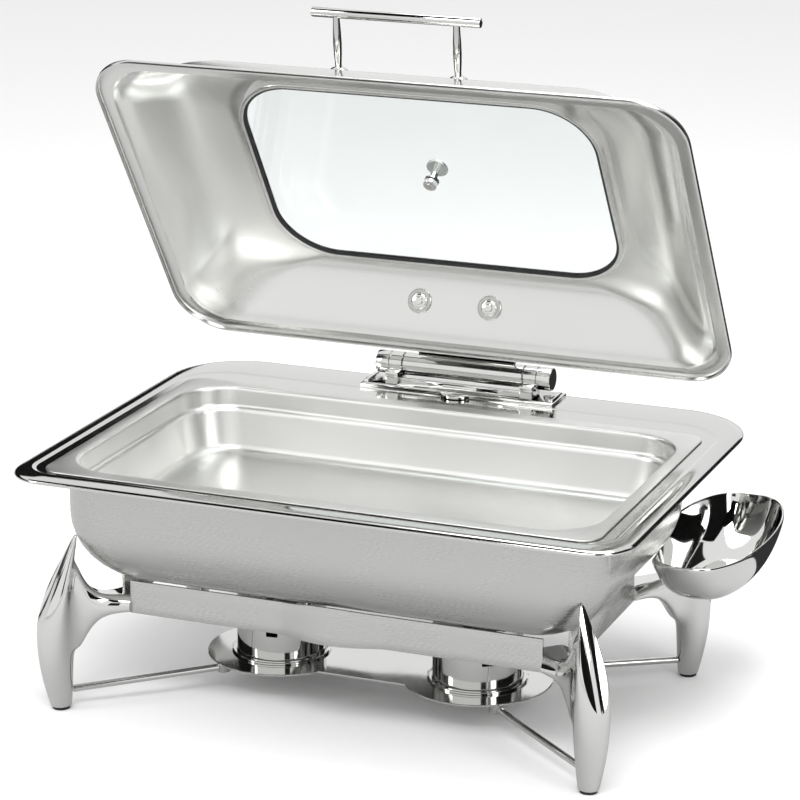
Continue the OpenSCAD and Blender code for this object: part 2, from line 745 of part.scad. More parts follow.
// The lid's sheet measured square to its sloping wall, with a little room for the washer.
wall_t = lid_gauge * (wall_out[0] + wall_out[1]) + 0.15;
washer_t = 1.2;
module hinge_bolts() {
    color("gainsboro") opened() for (x = [-bolt_x, bolt_x]) {
        bolt_axis(x, -wall_t - washer_t - 5.8) {
            cylinder(h = 5.8, d1 = 11, d2 = 17);
            translate([0, 0, 5.8]) cylinder(h = arm_t + wall_t + washer_t, d = 6);
            translate([0, 0, 5.8 + washer_t + wall_t + arm_t]) cylinder(h = 4, d = 10, $fn = 6);
        }
    }
}
module hinge_washers() {
    color("silver") opened() for (x = [-bolt_x, bolt_x])
        bolt_axis(x, -wall_t - washer_t) difference() {
            cylinder(h = washer_t, d = 24);
            translate([0, 0, -1]) cylinder(h = 4, d = 6);
        }
}

// ---------- lid ----------

// Steps of the dome from the rim band to the top: inset at the ends, at the front, at the rear,
// and height.
dome = [
    [lid_band, lid_band, lid_band, 6], [15, 14, 15, 9], [24, 17, wall_in0, wall_up0],
    [37, 22, 30, 26], [56, 33, wall_in1, wall_up1], [77, 46, 56, 54.5],
    [flat_in[0], flat_in[1], flat_in[2], lid_height]];
function dome_ring(p, g) = ring(lid_hx - p[0] - g, lid_y0 + p[1] + g, lid_y1 - p[2] - g,
    max(lid_corner - 6 + p[0] * 0.2, 10), max(lid_corner - 6 + p[0] * 0.2, 10),
    lid_z + p[3] - g);
function rim_ring(inset, z) = ring(lid_hx - inset, lid_y0 + inset, lid_y1 - inset,
    lid_corner - inset, lid_corner - inset, lid_z + z);
hole_hx = window_len / 2 + 1.5;
hole_hy = window_wid / 2 + 1.5;
function hole_ring(z) = ring(hole_hx, window_y - hole_hy, window_y + hole_hy,
    window_corner + 1.5, window_corner + 1.5, z);
module lid_shell() {
    outside = concat([rim_ring(1, 0), rim_ring(0, 1.5), rim_ring(0, 4.5), rim_ring(1.5, 6)],
        [for (p = dome) dome_ring(p, 0)], [hole_ring(panel_z), hole_ring(panel_z - lid_gauge)]);
    inside = concat([for (p = flip(dome)) dome_ring(p, lid_gauge)], [rim_ring(2.6, 4.8),
        rim_ring(1.6, 3.8), rim_ring(2, 0)]);
    color("lightgray") opened() difference() {
        loft(concat(outside, inside), closed = true);
        for (x = [-bolt_x, bolt_x]) bolt_axis(x, -6) cylinder(h = 12, d = 6);
        for (s = [-1, 1]) post_axis(s, -6) cylinder(h = 12, d = 4);
    }
}

// Glass, its rubber gasket and the frame that holds both, from the panel downwards.
gasket_t = 1;
glass_in = 3.8;
seal_wide = 5;
glass_z = panel_z - lid_gauge - gasket_t - glass_t;
glass_hx = window_len / 2 + glass_in;
glass_hy = window_wid / 2 + glass_in;
frame_wide = 6.6;
module window_glass() {
    color([0.85, 0.93, 0.92, 0.35]) opened() translate([0, window_y, glass_z]) difference() {
        linear_extrude(glass_t) plate2d(glass_hx, -glass_hy, glass_hy, window_corner + glass_in);
        translate([0, 0, -1]) cylinder(h = glass_t + 2, d = vent_hole);
    }
}
module window_gasket() {
    color("black") opened() translate([0, window_y, glass_z - gasket_t]) difference() {
        linear_extrude(glass_t + 2 * gasket_t)
            frame2d(window_len / 2, window_wid / 2, window_corner, seal_wide);
        translate([0, 0, gasket_t]) linear_extrude(glass_t)
            plate2d(glass_hx, -glass_hy, glass_hy, window_corner + glass_in);
    }
}
retainer_z = glass_z - gasket_t - 1;
module window_retainer() {
    color("lightgray") opened() translate([0, window_y, retainer_z]) {
        linear_extrude(1) frame2d(window_len / 2 + 2.5, window_wid / 2 + 2.5,
                                  window_corner + 2.5, frame_wide - 2.5);
        linear_extrude(glass_t + 2 * gasket_t + 1)
            frame2d(window_len / 2 + seal_wide + 0.1, window_wid / 2 + seal_wide + 0.1,
                    window_corner + seal_wide + 0.1, frame_wide - seal_wide - 0.1);
    }
}

vent_hole = 7;
module vent_stem() {
    color("gainsboro") opened() translate([0, window_y, glass_z]) {
        translate([0, 0, -5]) cylinder(h = glass_t + vent_up + 5 + 3, d = vent_hole);
        translate([0, 0, -4]) cylinder(h = 4, d = 13);
        translate([0, 0, glass_t]) cylinder(h = 2, d = 14);
    }
}
module vent_disc() {
    color("gainsboro") opened() translate([0, window_y, glass_z + glass_t + vent_up])
        difference() {
            union() {
                cylinder(h = 1.5, d = vent_d);
                translate([0, 0, 1.5]) cylinder(h = 2.5, d1 = vent_d, d2 = vent_d - 8);
            }
            translate([0, 0, -1]) cylinder(h = 4, d = vent_hole);
        }
}

// The handle stands on the lid's front wall, square to it.
front_in = 40;
front_up = 50.2;
post_lean = 62;
module post_axis(s, out) {
    translate([s * post_gap / 2, lid_y0 + front_in, lid_z + front_up]) rotate([post_lean, 0, 0])
        translate([0, 0, out]) children();
}
collar_h = 4;
module handle_collars() {
    color("gainsboro") opened() for (s = [-1, 1]) difference() {
        post_axis(s, -3) {
            cylinder(h = 3 + collar_h - 2, d = 17);
            translate([0, 0, 3 + collar_h - 2]) cylinder(h = 2, d1 = 17, d2 = 11);
        }
        lid_solid();
        post_axis(s, -7) cylinder(h = 20, d = 4);
    }
}
// The closed lid as one lump, to seat the collars on its front wall.
module lid_solid() {
    loft([for (p = dome) dome_ring(p, 0)]);
}
module handle_post(s) {
    opened() difference() {
        post_axis(s, collar_h) cylinder(h = post_len - collar_h, d = post_d);
        post_axis(s, collar_h - 1) cylinder(h = 13, d = 4);
        bar_place() cylinder(h = bar_len, d = bar_d, center = true);
    }
}
module bar_place() {
    post_axis(0, post_len) rotate([0, 90, 0]) children();
}
module handle_bar() {
    color("gainsboro") opened() bar_place() {
        cylinder(h = bar_len - 2, d = bar_d, center = true);
        for (s = [0, 1]) mirror([0, 0, s]) translate([0, 0, bar_len / 2 - 1])
            cylinder(h = 1, d1 = bar_d, d2 = bar_d - 2);
    }
}
module handle_post_left() { color("gainsboro") handle_post(-1); }
module handle_post_right() { color("gainsboro") handle_post(1); }
module handle_screws() {
    color("silver") opened() for (s = [-1, 1]) {
        post_axis(s, -5.5) cylinder(h = 5.5 + collar_h + 11, d = 4);
        post_axis(s, -7.5) cylinder(h = 2, d = 9);
    }
}

leg_front_left();
leg_front_right();
leg_rear_left();
leg_rear_right();
foot_pads();
front_apron();
rear_apron();
left_apron();
right_apron();
apron_screws();
brace_rod_front_left();
brace_rod_front_right();
brace_rod_rear_left();
brace_rod_rear_right();
brace_screws();
burner_tray();
holder_rings();
spoon_rest();
fuel_holder_left();
cover_pivot_left();
snuffer_cover_left();
cover_knob_left();
fuel_holder_right();
cover_pivot_right();
snuffer_cover_right();
cover_knob_right();
water_pan();
food_pan();
hinge_base_plate();
hinge_post_left();
hinge_post_right();
hinge_front_leaf();
hinge_base_screws();
hinge_pin();
hinge_end_cap_left();
hinge_end_cap_right();
hinge_barrel();
hinge_bushes();
hinge_damper();
hinge_spring();
hinge_arm();
hinge_bolts();
hinge_washers();
lid_shell();
window_glass();
window_gasket();
window_retainer();
vent_disc();
vent_stem();
handle_bar();
handle_post_left();
handle_post_right();
handle_collars();
handle_screws();
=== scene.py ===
# %% [markdown]
# # A full-size buffet chafer with a hinged, windowed lid
# A chafer keeps food hot over water that two small burners warm. Nearly all of it is stainless
# steel, so the two things that make it look right are smooth, evenly curved sheet and the
# difference between mirror-polished pieces and brushed ones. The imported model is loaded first:
# it fixes every size and place, and what is modelled below follows it.

# %% Load the frame
import json
import math
import bmesh
import bpy
from mathutils import Matrix, Vector

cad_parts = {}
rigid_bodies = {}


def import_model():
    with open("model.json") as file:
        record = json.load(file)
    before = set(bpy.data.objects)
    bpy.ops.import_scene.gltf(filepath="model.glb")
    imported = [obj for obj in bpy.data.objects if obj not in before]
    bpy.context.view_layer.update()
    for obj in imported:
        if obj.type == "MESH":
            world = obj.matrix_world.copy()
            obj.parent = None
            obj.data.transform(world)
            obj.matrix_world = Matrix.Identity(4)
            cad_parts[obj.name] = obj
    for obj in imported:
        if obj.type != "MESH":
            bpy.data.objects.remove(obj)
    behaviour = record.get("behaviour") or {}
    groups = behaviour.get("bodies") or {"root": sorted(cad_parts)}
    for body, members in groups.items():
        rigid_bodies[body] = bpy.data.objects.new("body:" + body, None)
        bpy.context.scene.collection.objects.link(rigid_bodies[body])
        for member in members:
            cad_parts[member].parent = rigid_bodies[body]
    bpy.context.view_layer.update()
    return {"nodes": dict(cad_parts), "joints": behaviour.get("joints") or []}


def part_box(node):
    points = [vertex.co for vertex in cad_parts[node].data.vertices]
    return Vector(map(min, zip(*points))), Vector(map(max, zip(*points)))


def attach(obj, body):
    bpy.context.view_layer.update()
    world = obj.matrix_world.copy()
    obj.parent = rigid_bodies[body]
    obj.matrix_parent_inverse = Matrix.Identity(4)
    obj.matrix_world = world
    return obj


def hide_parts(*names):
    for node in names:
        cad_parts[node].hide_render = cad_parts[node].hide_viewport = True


for leftover in list(bpy.data.objects):
    bpy.data.objects.remove(leftover)
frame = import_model()

MM = 0.001
joint = {j["name"]: j for j in frame["joints"]}
axis_y, axis_z = joint["lid_hinge"]["pos_m"][1:]
open_angle = -math.radians(joint["lid_hinge"]["range_deg"][0])
print("hinge axis at y, z", axis_y, axis_z, "lid stands open", round(math.degrees(open_angle), 1))

# %% [markdown]
# ## Camera, floor and soft light
# The chafer stands on a pale floor and is seen from the front right, a little from above,
# through a long lens. Polished steel shows only what is around it, so a plain white room would
# leave it without form, and the last cells put a few dark cards out of view for it to reflect.

# %% Camera
target = Vector((0.02144, 0.0, 0.28744))
turn, rise, reach = math.radians(21.92), math.radians(16.76), 2.8788
camera_data = bpy.data.cameras.new("camera")
camera = bpy.data.objects.new("camera", camera_data)
bpy.context.scene.collection.objects.link(camera)
camera_data.lens, camera_data.sensor_width, camera_data.clip_end = 142.3, 36, 60
camera.location = target + reach * Vector((math.sin(turn) * math.cos(rise),
                                        -math.cos(turn) * math.cos(rise), math.sin(rise)))
camera.rotation_euler = (target - camera.location).to_track_quat("-Z", "Y").to_euler()
bpy.context.scene.camera = camera
print("camera at", [round(v, 3) for v in camera.location])


# %% [markdown]
# ## Helpers for materials
# One function turns a hex colour into the linear numbers Blender works in, and one adds a node,
# sets its sockets and joins its links. Every material starts from a Principled shader.

# %% Colour and node helpers
def hex_colour(code, alpha=1.0):
    parts = [int(code[i:i + 2], 16) / 255 for i in (1, 3, 5)]
    linear = [c / 12.92 if c <= 0.04045 else ((c + 0.055) / 1.055) ** 2.4 for c in parts]
    return (*linear, alpha)


def add_node(material, kind, settings=None, sockets=None, links=None):
    node = material.node_tree.nodes.new(kind)
    for name, value in (settings or {}).items():
        setattr(node, name, value)
    for name, value in (sockets or {}).items():
        node.inputs[name].default_value = value
    for name, source in (links or {}).items():
        material.node_tree.links.new(source, node.inputs[name])
    return node


def new_material(name, base, metallic, roughness):
    material = bpy.data.materials.new(name)
    material.use_nodes = True
    shader = material.node_tree.nodes["Principled BSDF"]
    shader.inputs["Base Color"].default_value = hex_colour(base)
    shader.inputs["Metallic"].default_value = metallic
    shader.inputs["Roughness"].default_value = roughness
    return material, shader


def join_link(material, source, target):
    material.node_tree.links.new(source, target)


# %% [markdown]
# ## Steel finishes
# The stand, handle and hinge are stainless steel buffed to a mirror: what the eye gets is a
# nearly clean reflection with faint buffing haze. The pans and the lid are stainless sheet with
# a fine brushed or satin finish: reflections are drawn out along the brush lines and soft.

# %% Polished and brushed stainless steel
RIPPLE_MM = 25


def polished_steel(name, base, roughness, haze_mm=40):
    """Buffed steel, with patches of haze this many millimetres across."""
    material, shader = new_material(name, base, 1.0, roughness)
    place = add_node(material, "ShaderNodeTexCoord")
    haze = add_node(material, "ShaderNodeTexNoise",
                    sockets={"Scale": 1000 / haze_mm, "Detail": 5.0},
                    links={"Vector": place.outputs["Object"]})
    smear = add_node(material, "ShaderNodeMapRange",
                     sockets={"From Min": 0.35, "From Max": 0.75, "To Min": roughness * 0.75,
                              "To Max": roughness * 1.7}, links={"Value": haze.outputs["Fac"]})
    join_link(material, smear.outputs["Result"], shader.inputs["Roughness"])
    ripple = add_node(material, "ShaderNodeTexNoise",
                      sockets={"Scale": 1000 / RIPPLE_MM, "Detail": 1.0},
                      links={"Vector": place.outputs["Object"]})
    bump = add_node(material, "ShaderNodeBump", sockets={"Strength": 0.02, "Distance": 0.001},
                    links={"Height": ripple.outputs["Fac"]})
    join_link(material, bump.outputs["Normal"], shader.inputs["Normal"])
    return material


def brushed_steel(name, base, roughness, stretch, line_mm, depth):
    """Steel with fine lines, drawn out along the axes whose stretch is small."""
    material, shader = new_material(name, base, 1.0, roughness)
    place = add_node(material, "ShaderNodeTexCoord")
    drawn = add_node(material, "ShaderNodeMapping", sockets={"Scale": stretch},
                     links={"Vector": place.outputs["Object"]})
    lines = add_node(material, "ShaderNodeTexNoise",
                     sockets={"Scale": 1000 / line_mm, "Detail": 3.0},
                     links={"Vector": drawn.outputs["Vector"]})
    cloud = add_node(material, "ShaderNodeTexNoise", sockets={"Scale": 9.0, "Detail": 4.0},
                     links={"Vector": place.outputs["Object"]})
    mixed = add_node(material, "ShaderNodeMath", settings={"operation": "MULTIPLY_ADD"},
                     sockets={1: 0.6}, links={0: lines.outputs["Fac"], 2: cloud.outputs["Fac"]})
    smear = add_node(material, "ShaderNodeMapRange",
                     sockets={"From Min": 0.55, "From Max": 1.05, "To Min": roughness * 0.8,
                              "To Max": roughness * 1.25}, links={"Value": mixed.outputs["Value"]})
    join_link(material, smear.outputs["Result"], shader.inputs["Roughness"])
    bump = add_node(material, "ShaderNodeBump", sockets={"Strength": depth, "Distance": 0.0004},
                    links={"Height": lines.outputs["Fac"]})
    join_link(material, bump.outputs["Normal"], shader.inputs["Normal"])
    return material


# Legs and spoon rest: cast, ground and buffed to a mirror.
cast_mirror = polished_steel("buffed_cast_stainless_steel", "#DCDCDA", 0.045)
# Tray, cups and hinge plates: sheet buffed after pressing.
sheet_mirror = polished_steel("buffed_stainless_sheet", "#D6D6D4", 0.07, 60)
# Handle, barrel and rods: turned bar with a bright skin.
turned_mirror = polished_steel("turned_and_buffed_stainless_bar", "#DADAD8", 0.06, 20)
# The water pan's rim: buffed, a little softer than bar.
rim_mirror = polished_steel("buffed_rolled_rim", "#D2D2D0", 0.09, 90)
# Screws, washers and knobs: tumbled and dull.
small_steel = polished_steel("tumbled_stainless_fasteners", "#B8B8B5", 0.22, 6)
# The water pan's body: brushed along its length.
pan_brushed = brushed_steel("brushed_stainless_water_pan", "#C4C4C2", 0.27, (0.008, 0.03, 1.0),
                            1.0, 0.005)
# The food pan: a pale satin left by deep drawing.
food_satin = brushed_steel("satin_deep_drawn_food_pan", "#E4E4E2", 0.36, (0.03, 0.03, 1.0),
                           1.2, 0.015)
# The lid: satin, with its lines along the length.
lid_satin = brushed_steel("satin_spun_lid_steel", "#DCDCDA", 0.22, (0.012, 1.0, 1.0), 0.9, 0.05)
# The aprons: brushed strip.
apron_brushed = brushed_steel("brushed_stainless_apron", "#C6C6C4", 0.25, (0.008, 0.008, 1.0),
                              1.0, 0.005)
# Damper and spring: dark steel with a film of oil.
spring_dark = polished_steel("oiled_spring_steel", "#55565A", 0.35, 5)

# %% [markdown]
# ## Glass, rubber and nylon
# The window is clear tempered glass. Its gasket and the foot pads are black silicone rubber,
# which is matt with a little sheen, and the bushes inside the hinge are natural nylon.

# %% Glass, rubber and nylon
clear_glass, glass_shader = new_material("clear_tempered_glass", "#F7FBFA", 0.0, 0.0)
glass_shader.inputs["Transmission Weight"].default_value = 1.0
glass_shader.inputs["IOR"].default_value = 1.5
glass_place = add_node(clear_glass, "ShaderNodeTexCoord")
glass_wave = add_node(clear_glass, "ShaderNodeTexNoise", sockets={"Scale": 8.0, "Detail": 1.0},
                      links={"Vector": glass_place.outputs["Object"]})
glass_bump = add_node(clear_glass, "ShaderNodeBump", sockets={"Strength": 0.01, "Distance": 0.001},
                      links={"Height": glass_wave.outputs["Fac"]})
join_link(clear_glass, glass_bump.outputs["Normal"], glass_shader.inputs["Normal"])


def moulded(name, base, roughness, grain_mm):
    material, shader = new_material(name, base, 0.0, roughness)
    place = add_node(material, "ShaderNodeTexCoord")
    grain = add_node(material, "ShaderNodeTexNoise", sockets={"Scale": 1000 / grain_mm},
                     links={"Vector": place.outputs["Object"]})
    smear = add_node(material, "ShaderNodeMapRange",
                     sockets={"To Min": roughness * 0.85, "To Max": roughness * 1.15},
                     links={"Value": grain.outputs["Fac"]})
    join_link(material, smear.outputs["Result"], shader.inputs["Roughness"])
    bump = add_node(material, "ShaderNodeBump", sockets={"Strength": 0.1, "Distance": 0.0003},
                    links={"Height": grain.outputs["Fac"]})
    join_link(material, bump.outputs["Normal"], shader.inputs["Normal"])
    return material


black_rubber = moulded("black_silicone_rubber", "#17171A", 0.5, 0.6)
white_nylon = moulded("natural_nylon", "#E4E1D4", 0.45, 1.0)


# %% [markdown]
# ## Helpers for modelling
# A few small tools cover the chafer. A loft joins rounded-rectangle rings into pressed sheet, a
# turned piece is a profile spun about an axis, a skin of free rings makes the cast horns, and
# the last one swings what was made on the closed lid up to where the open lid stands.

# %% Modelling helpers
def only(*pieces):
    bpy.ops.object.select_all(action="DESELECT")
    for piece in pieces:
        piece.select_set(True)
    bpy.context.view_layer.objects.active = pieces[0]


def fresh(name, add, **settings):
    bpy.ops.object.select_all(action="DESELECT")
    add(**settings)
    piece = bpy.context.object
    piece.name = name
    return piece


def edit(piece):
    only(piece)
    bpy.ops.object.mode_set(mode="EDIT")
    bpy.ops.mesh.select_mode(type="VERT")


def leave_outward():
    """Turns every face of the mesh being edited outwards and leaves edit mode."""
    bpy.ops.mesh.select_all(action="SELECT")
    bpy.ops.mesh.normals_make_consistent(inside=False)
    bpy.ops.object.mode_set(mode="OBJECT")


def smooth(piece, degrees=32):
    """Shades a piece smooth, except over edges sharper than this."""
    only(piece)
    bpy.ops.object.shade_smooth_by_angle(angle=math.radians(degrees))
    return piece


def choose(piece, verts=None, edges=None, faces=None):
    mesh = bmesh.from_edit_mesh(piece.data)
    for item in list(mesh.faces) + list(mesh.edges) + list(mesh.verts):
        item.select = False
    for group, test in ((mesh.verts, verts), (mesh.edges, edges), (mesh.faces, faces)):
        for item in group:
            if test and test(item):
                item.select = True
    mesh.select_flush(True)
    bmesh.update_edit_mesh(piece.data)


def apply_modifier(piece, kind, **settings):
    only(piece)
    modifier = piece.modifiers.new(kind.lower(), kind)
    for name, value in settings.items():
        setattr(modifier, name, value)
    bpy.ops.object.modifier_apply(modifier=modifier.name)
    return piece


def bridge_rings(rings, name, loop=False):
    """Joins ring objects into one skin. Each ring is a filled outline or a bare one."""
    for number, ring in enumerate(rings):
        group = ring.vertex_groups.new(name=f"ring{number:03d}")
        group.add(range(len(ring.data.vertices)), 1.0, "REPLACE")
        if loop or number not in (0, len(rings) - 1):
            edit(ring)
            bpy.ops.mesh.select_all(action="SELECT")
            bpy.ops.mesh.delete(type="ONLY_FACE")
            bpy.ops.object.mode_set(mode="OBJECT")
    only(*rings)
    bpy.ops.object.join()
    piece = bpy.context.object
    piece.name = name
    index = {g.index: int(g.name[4:]) for g in piece.vertex_groups}
    edit(piece)
    bpy.ops.mesh.select_mode(type="EDGE")
    for i in range(len(rings) if loop else len(rings) - 1):
        pair = (i, (i + 1) % len(rings))
        layer = bmesh.from_edit_mesh(piece.data).verts.layers.deform.active

        def on_pair(edge):
            a, b = (index[vert[layer].keys()[0]] for vert in edge.verts)
            return a == b and a in pair
        choose(piece, edges=on_pair)
        bpy.ops.mesh.bridge_edge_loops()
    leave_outward()
    piece.vertex_groups.clear()
    return piece


def rounded(half, y0, y1, front_r, rear_r, z, steps):
    """A flat rounded rectangle in mm, its corners beveled round."""
    ring = fresh("ring", bpy.ops.mesh.primitive_plane_add, size=1)
    edit(ring)
    middle = (y0 + y1) / 2 * MM
    bpy.ops.transform.resize(value=(2 * half * MM, (y1 - y0) * MM, 1))
    bpy.ops.transform.translate(value=(0, middle, z * MM))
    for radius, side in ((front_r, -1), (rear_r, 1)):
        choose(ring, verts=lambda v: (v.co.y - middle) * side > 0 and
               abs(abs(v.co.x) - half * MM) < 1e-6 and
               abs(abs(v.co.y - middle) - (y1 - y0) / 2 * MM) < 1e-6)
        bpy.ops.mesh.bevel(offset=radius * MM, segments=steps, affect="VERTICES",
                           clamp_overlap=False)
    bpy.ops.object.mode_set(mode="OBJECT")
    return ring


def pressed(name, rings, steps=10, loop=False):
    """Sheet through rings of (half length, front y, rear y, front radius, rear radius, z)."""
    # A bridge between two rings at exactly one height can cross over, so they are set apart.
    least, apart = 0.015, 0.02
    spaced = [list(rings[0])]
    for ring in rings[1:]:
        spaced.append(list(ring))
        if abs(ring[5] - spaced[-2][5]) < least:
            spaced[-1][5] = spaced[-2][5] - apart
    piece = smooth(bridge_rings([rounded(*ring, steps) for ring in spaced], name, loop), 40)
    print(name, "has", len(piece.data.polygons), "faces")
    return piece


def turned(name, profile, place=(0, 0, 0), towards=(0, 0, 1), steps=48):
    """A disc whose top face is extruded and scaled through (radius, height), all in mm."""
    radius, height = profile[0]
    piece = fresh(name, bpy.ops.mesh.primitive_circle_add, vertices=steps, radius=radius * MM,
                  fill_type="NGON", location=(0, 0, height * MM))
    edit(piece)
    bpy.ops.mesh.select_all(action="SELECT")
    for next_radius, next_height in profile[1:]:
        bpy.ops.mesh.extrude_region_move(
            TRANSFORM_OT_translate={"value": (0, 0, (next_height - height) * MM)})
        scale = next_radius / radius
        bpy.ops.transform.resize(value=(scale, scale, 1))
        radius, height = next_radius, next_height
    leave_outward()
    turn_to = Vector((0, 0, 1)).rotation_difference(Vector(towards)).to_matrix().to_4x4()
    return smooth(settle(piece, Matrix.Translation(Vector(place) * MM) @ turn_to))


def settle(piece, matrix=None):
    """Puts a piece where it belongs and leaves its object at the origin."""
    if matrix:
        piece.matrix_world = matrix @ piece.matrix_world
    only(piece)
    bpy.ops.object.transform_apply(location=True, rotation=True, scale=True)
    return piece


def block(name, low, high, bevel=0.6, segments=2):
    """A box between two corners in mm, with softened edges."""
    piece = fresh(name, bpy.ops.mesh.primitive_cube_add, size=1)
    edit(piece)
    bpy.ops.mesh.select_all(action="SELECT")
    bpy.ops.transform.resize(value=[(b - a) * MM for a, b in zip(low, high)])
    bpy.ops.transform.translate(value=[(b + a) / 2 * MM for a, b in zip(low, high)])
    bpy.ops.mesh.bevel(offset=bevel * MM, segments=segments, affect="EDGES")
    bpy.ops.object.mode_set(mode="OBJECT")
    return smooth(piece, 35)


def round_edges(piece, width, degrees):
    """Softens every edge sharper than this many degrees."""
    return apply_modifier(piece, "BEVEL", width=width * MM, segments=2, limit_method="ANGLE",
                          angle_limit=math.radians(degrees))


def prism(name, outline, x0, x1):
    """A flat outline in the YZ plane, in mm, extruded along X."""
    piece = fresh(name, bpy.ops.mesh.primitive_circle_add, vertices=len(outline), radius=1,
                  fill_type="NGON")
    for vert, (y, z) in zip(piece.data.vertices, outline):
        vert.co = (x0 * MM, y * MM, z * MM)
    edit(piece)
    bpy.ops.mesh.select_all(action="SELECT")
    bpy.ops.mesh.extrude_region_move(TRANSFORM_OT_translate={"value": ((x1 - x0) * MM, 0, 0)})
    leave_outward()
    return smooth(round_edges(piece, 0.5, 30))


def cut(piece, *tools):
    for tool in tools:
        apply_modifier(piece, "BOOLEAN", operation="DIFFERENCE", object=tool, solver="EXACT")
        bpy.data.objects.remove(tool)
    return piece


def add_to(piece, *others):
    for other in others:
        apply_modifier(piece, "BOOLEAN", operation="UNION", object=other, solver="EXACT")
        bpy.data.objects.remove(other)
    return piece


def copy_piece(piece, name, matrix):
    """A copy with a mesh of its own, moved or mirrored, with its faces turned outwards."""
    only(piece)
    bpy.ops.object.duplicate()
    twin = bpy.context.object
    twin.name = name
    settle(twin, matrix)
    if matrix.determinant() < 0:
        edit(twin)
        leave_outward()
    return twin


LEFT = Matrix.Scale(-1, 4, (1, 0, 0))
REAR = Matrix.Scale(-1, 4, (0, 1, 0))


def first(is_first, node):
    """A node that holds several twins is stood for by the first of them."""
    return [node] if is_first else []


def fit_out(piece, material, body, slot, *nodes):
    """Gives a piece its finish, the body it rides on and the CAD nodes it stands for."""
    piece.data.materials.clear()
    piece.data.materials.append(material)
    for face in piece.data.polygons:
        face.material_index = 0
    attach(piece, body)
    if nodes:
        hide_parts(*nodes)
    return piece


# %% [markdown]
# ## Water pan
# The water pan is one deep-drawn sheet with well-rounded bottom edges. Its rim is rounded over
# at the outside, dips to a ledge that the food pan rests on, and is much wider at the rear,
# where the hinge stands on it. Rounded-rectangle rings follow that section, because drawing
# keeps every level of a pressed pan a rounded rectangle.

# %% Water pan
food_low, food_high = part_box("food_pan")
pan_low, pan_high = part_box("water_pan")
rim_half = pan_high[0] / MM
rim_front, rim_rear = pan_low[1] / MM, pan_high[1] / MM
pan_bottom, shelf_z = pan_low[2] / MM, pan_high[2] / MM
body_half, body_front, body_rear, body_corner = 259.2, -153.8, 152.0, 52.0
bottom_round, gauge = 70.0, 1.2
ledge_z = shelf_z - 1.0
front_corner, rear_corner = 39.0, 74.0


def body_ring(inset, z):
    corner = max(body_corner - 0.45 * inset, 12)
    return (body_half - inset, body_front + inset, body_rear - inset, corner, corner, z)


def bottom_arc(grow, steps=10):
    return [body_ring(bottom_round * (1 - math.sin(a)) - grow,
                      pan_bottom - grow + bottom_round * (1 - math.cos(a)))
            for a in [math.pi / 2 * i / steps for i in range(steps + 1)]]


def rim_ring(inset, z, rear=None):
    return (rim_half - inset, rim_front + inset, rim_rear - (inset if rear is None else rear),
            front_corner - inset * 0.8, rear_corner - (inset if rear is None else 26) * 0.9, z)


outside = bottom_arc(0) + [body_ring(0, ledge_z - 8)]
outside += [(body_half + 2, body_front - 1, body_rear + 1, 52, 52, ledge_z - 5.5),
            (body_half + 6, body_front - 4, body_rear + 4, 50, 52, ledge_z - 5),
            rim_ring(5, shelf_z - 5.6), rim_ring(1.2, shelf_z - 6.2)]
over = [rim_ring(0.3, shelf_z - 6), rim_ring(0, shelf_z - 5), rim_ring(0.3, shelf_z - 4),
        rim_ring(1.1, shelf_z - 3.1), rim_ring(2.4, shelf_z - 2.3), rim_ring(4.4, shelf_z - 1.5),
        rim_ring(7, shelf_z - 0.8), rim_ring(9.6, shelf_z - 0.3), rim_ring(12, shelf_z - 0.04)]
step = [rim_ring(14.2, shelf_z, 52), rim_ring(15.4, shelf_z - 0.1, 53),
        rim_ring(16.6, shelf_z - 0.4, 54), rim_ring(17.4, shelf_z - 0.8, 54.8),
        rim_ring(18, ledge_z, 55.6), rim_ring(20, ledge_z, 58)]
inner = [(258.3, -152.8, 151.2, 51, 51, ledge_z), (258.0, -152.5, 150.8, 51, 51, ledge_z - 0.8)]
inside = bottom_arc(-gauge)
water_pan = pressed("water_pan_sheet", outside + over + step + inner + inside[::-1], steps=14)
fit_out(water_pan, pan_brushed, "water_pan", "brushed_steel", "water_pan")
# The rim is buffed bright, and the body below it stays brushed.
water_pan.data.materials.append(rim_mirror)
for face in water_pan.data.polygons:
    if face.center.z > (ledge_z - 5.9) * MM:
        face.material_index = 1

# %% [markdown]
# ## Food pan
# A full-size gastronorm pan: a flat flange, a shoulder just under it that lets empty pans
# stack, and walls that lean in a little to a rounded bottom. It shows a satin finish inside.

# %% Food pan
food_half, food_y = food_high[0] / MM, food_high[1] / MM
flange_top, food_bottom = food_high[2] / MM, food_low[2] / MM
mouth_half, mouth_y, mouth_corner = food_half - 12.5, food_y - 16.0, 50.0


def food_ring(inset, z):
    corner = mouth_corner - 0.5 * inset
    return (mouth_half - inset, -mouth_y + inset, mouth_y - inset, corner, corner, z)


def food_wall(g):
    rings = [(26, g), (19, 0.5 + g), (14.5, 2.2 + g), (11.6, 5 + g), (10, 9 + g)]
    rings = [food_ring(a + g, food_bottom + b) for a, b in rings]
    return rings + [food_ring(4.6 + g, flange_top - 25), food_ring(3.9 + g, flange_top - 22),
                    food_ring(2.4 + g, flange_top - 20.2), food_ring(1.2 + g, flange_top - 19),
                    food_ring(0.8 + g, flange_top - 17)]


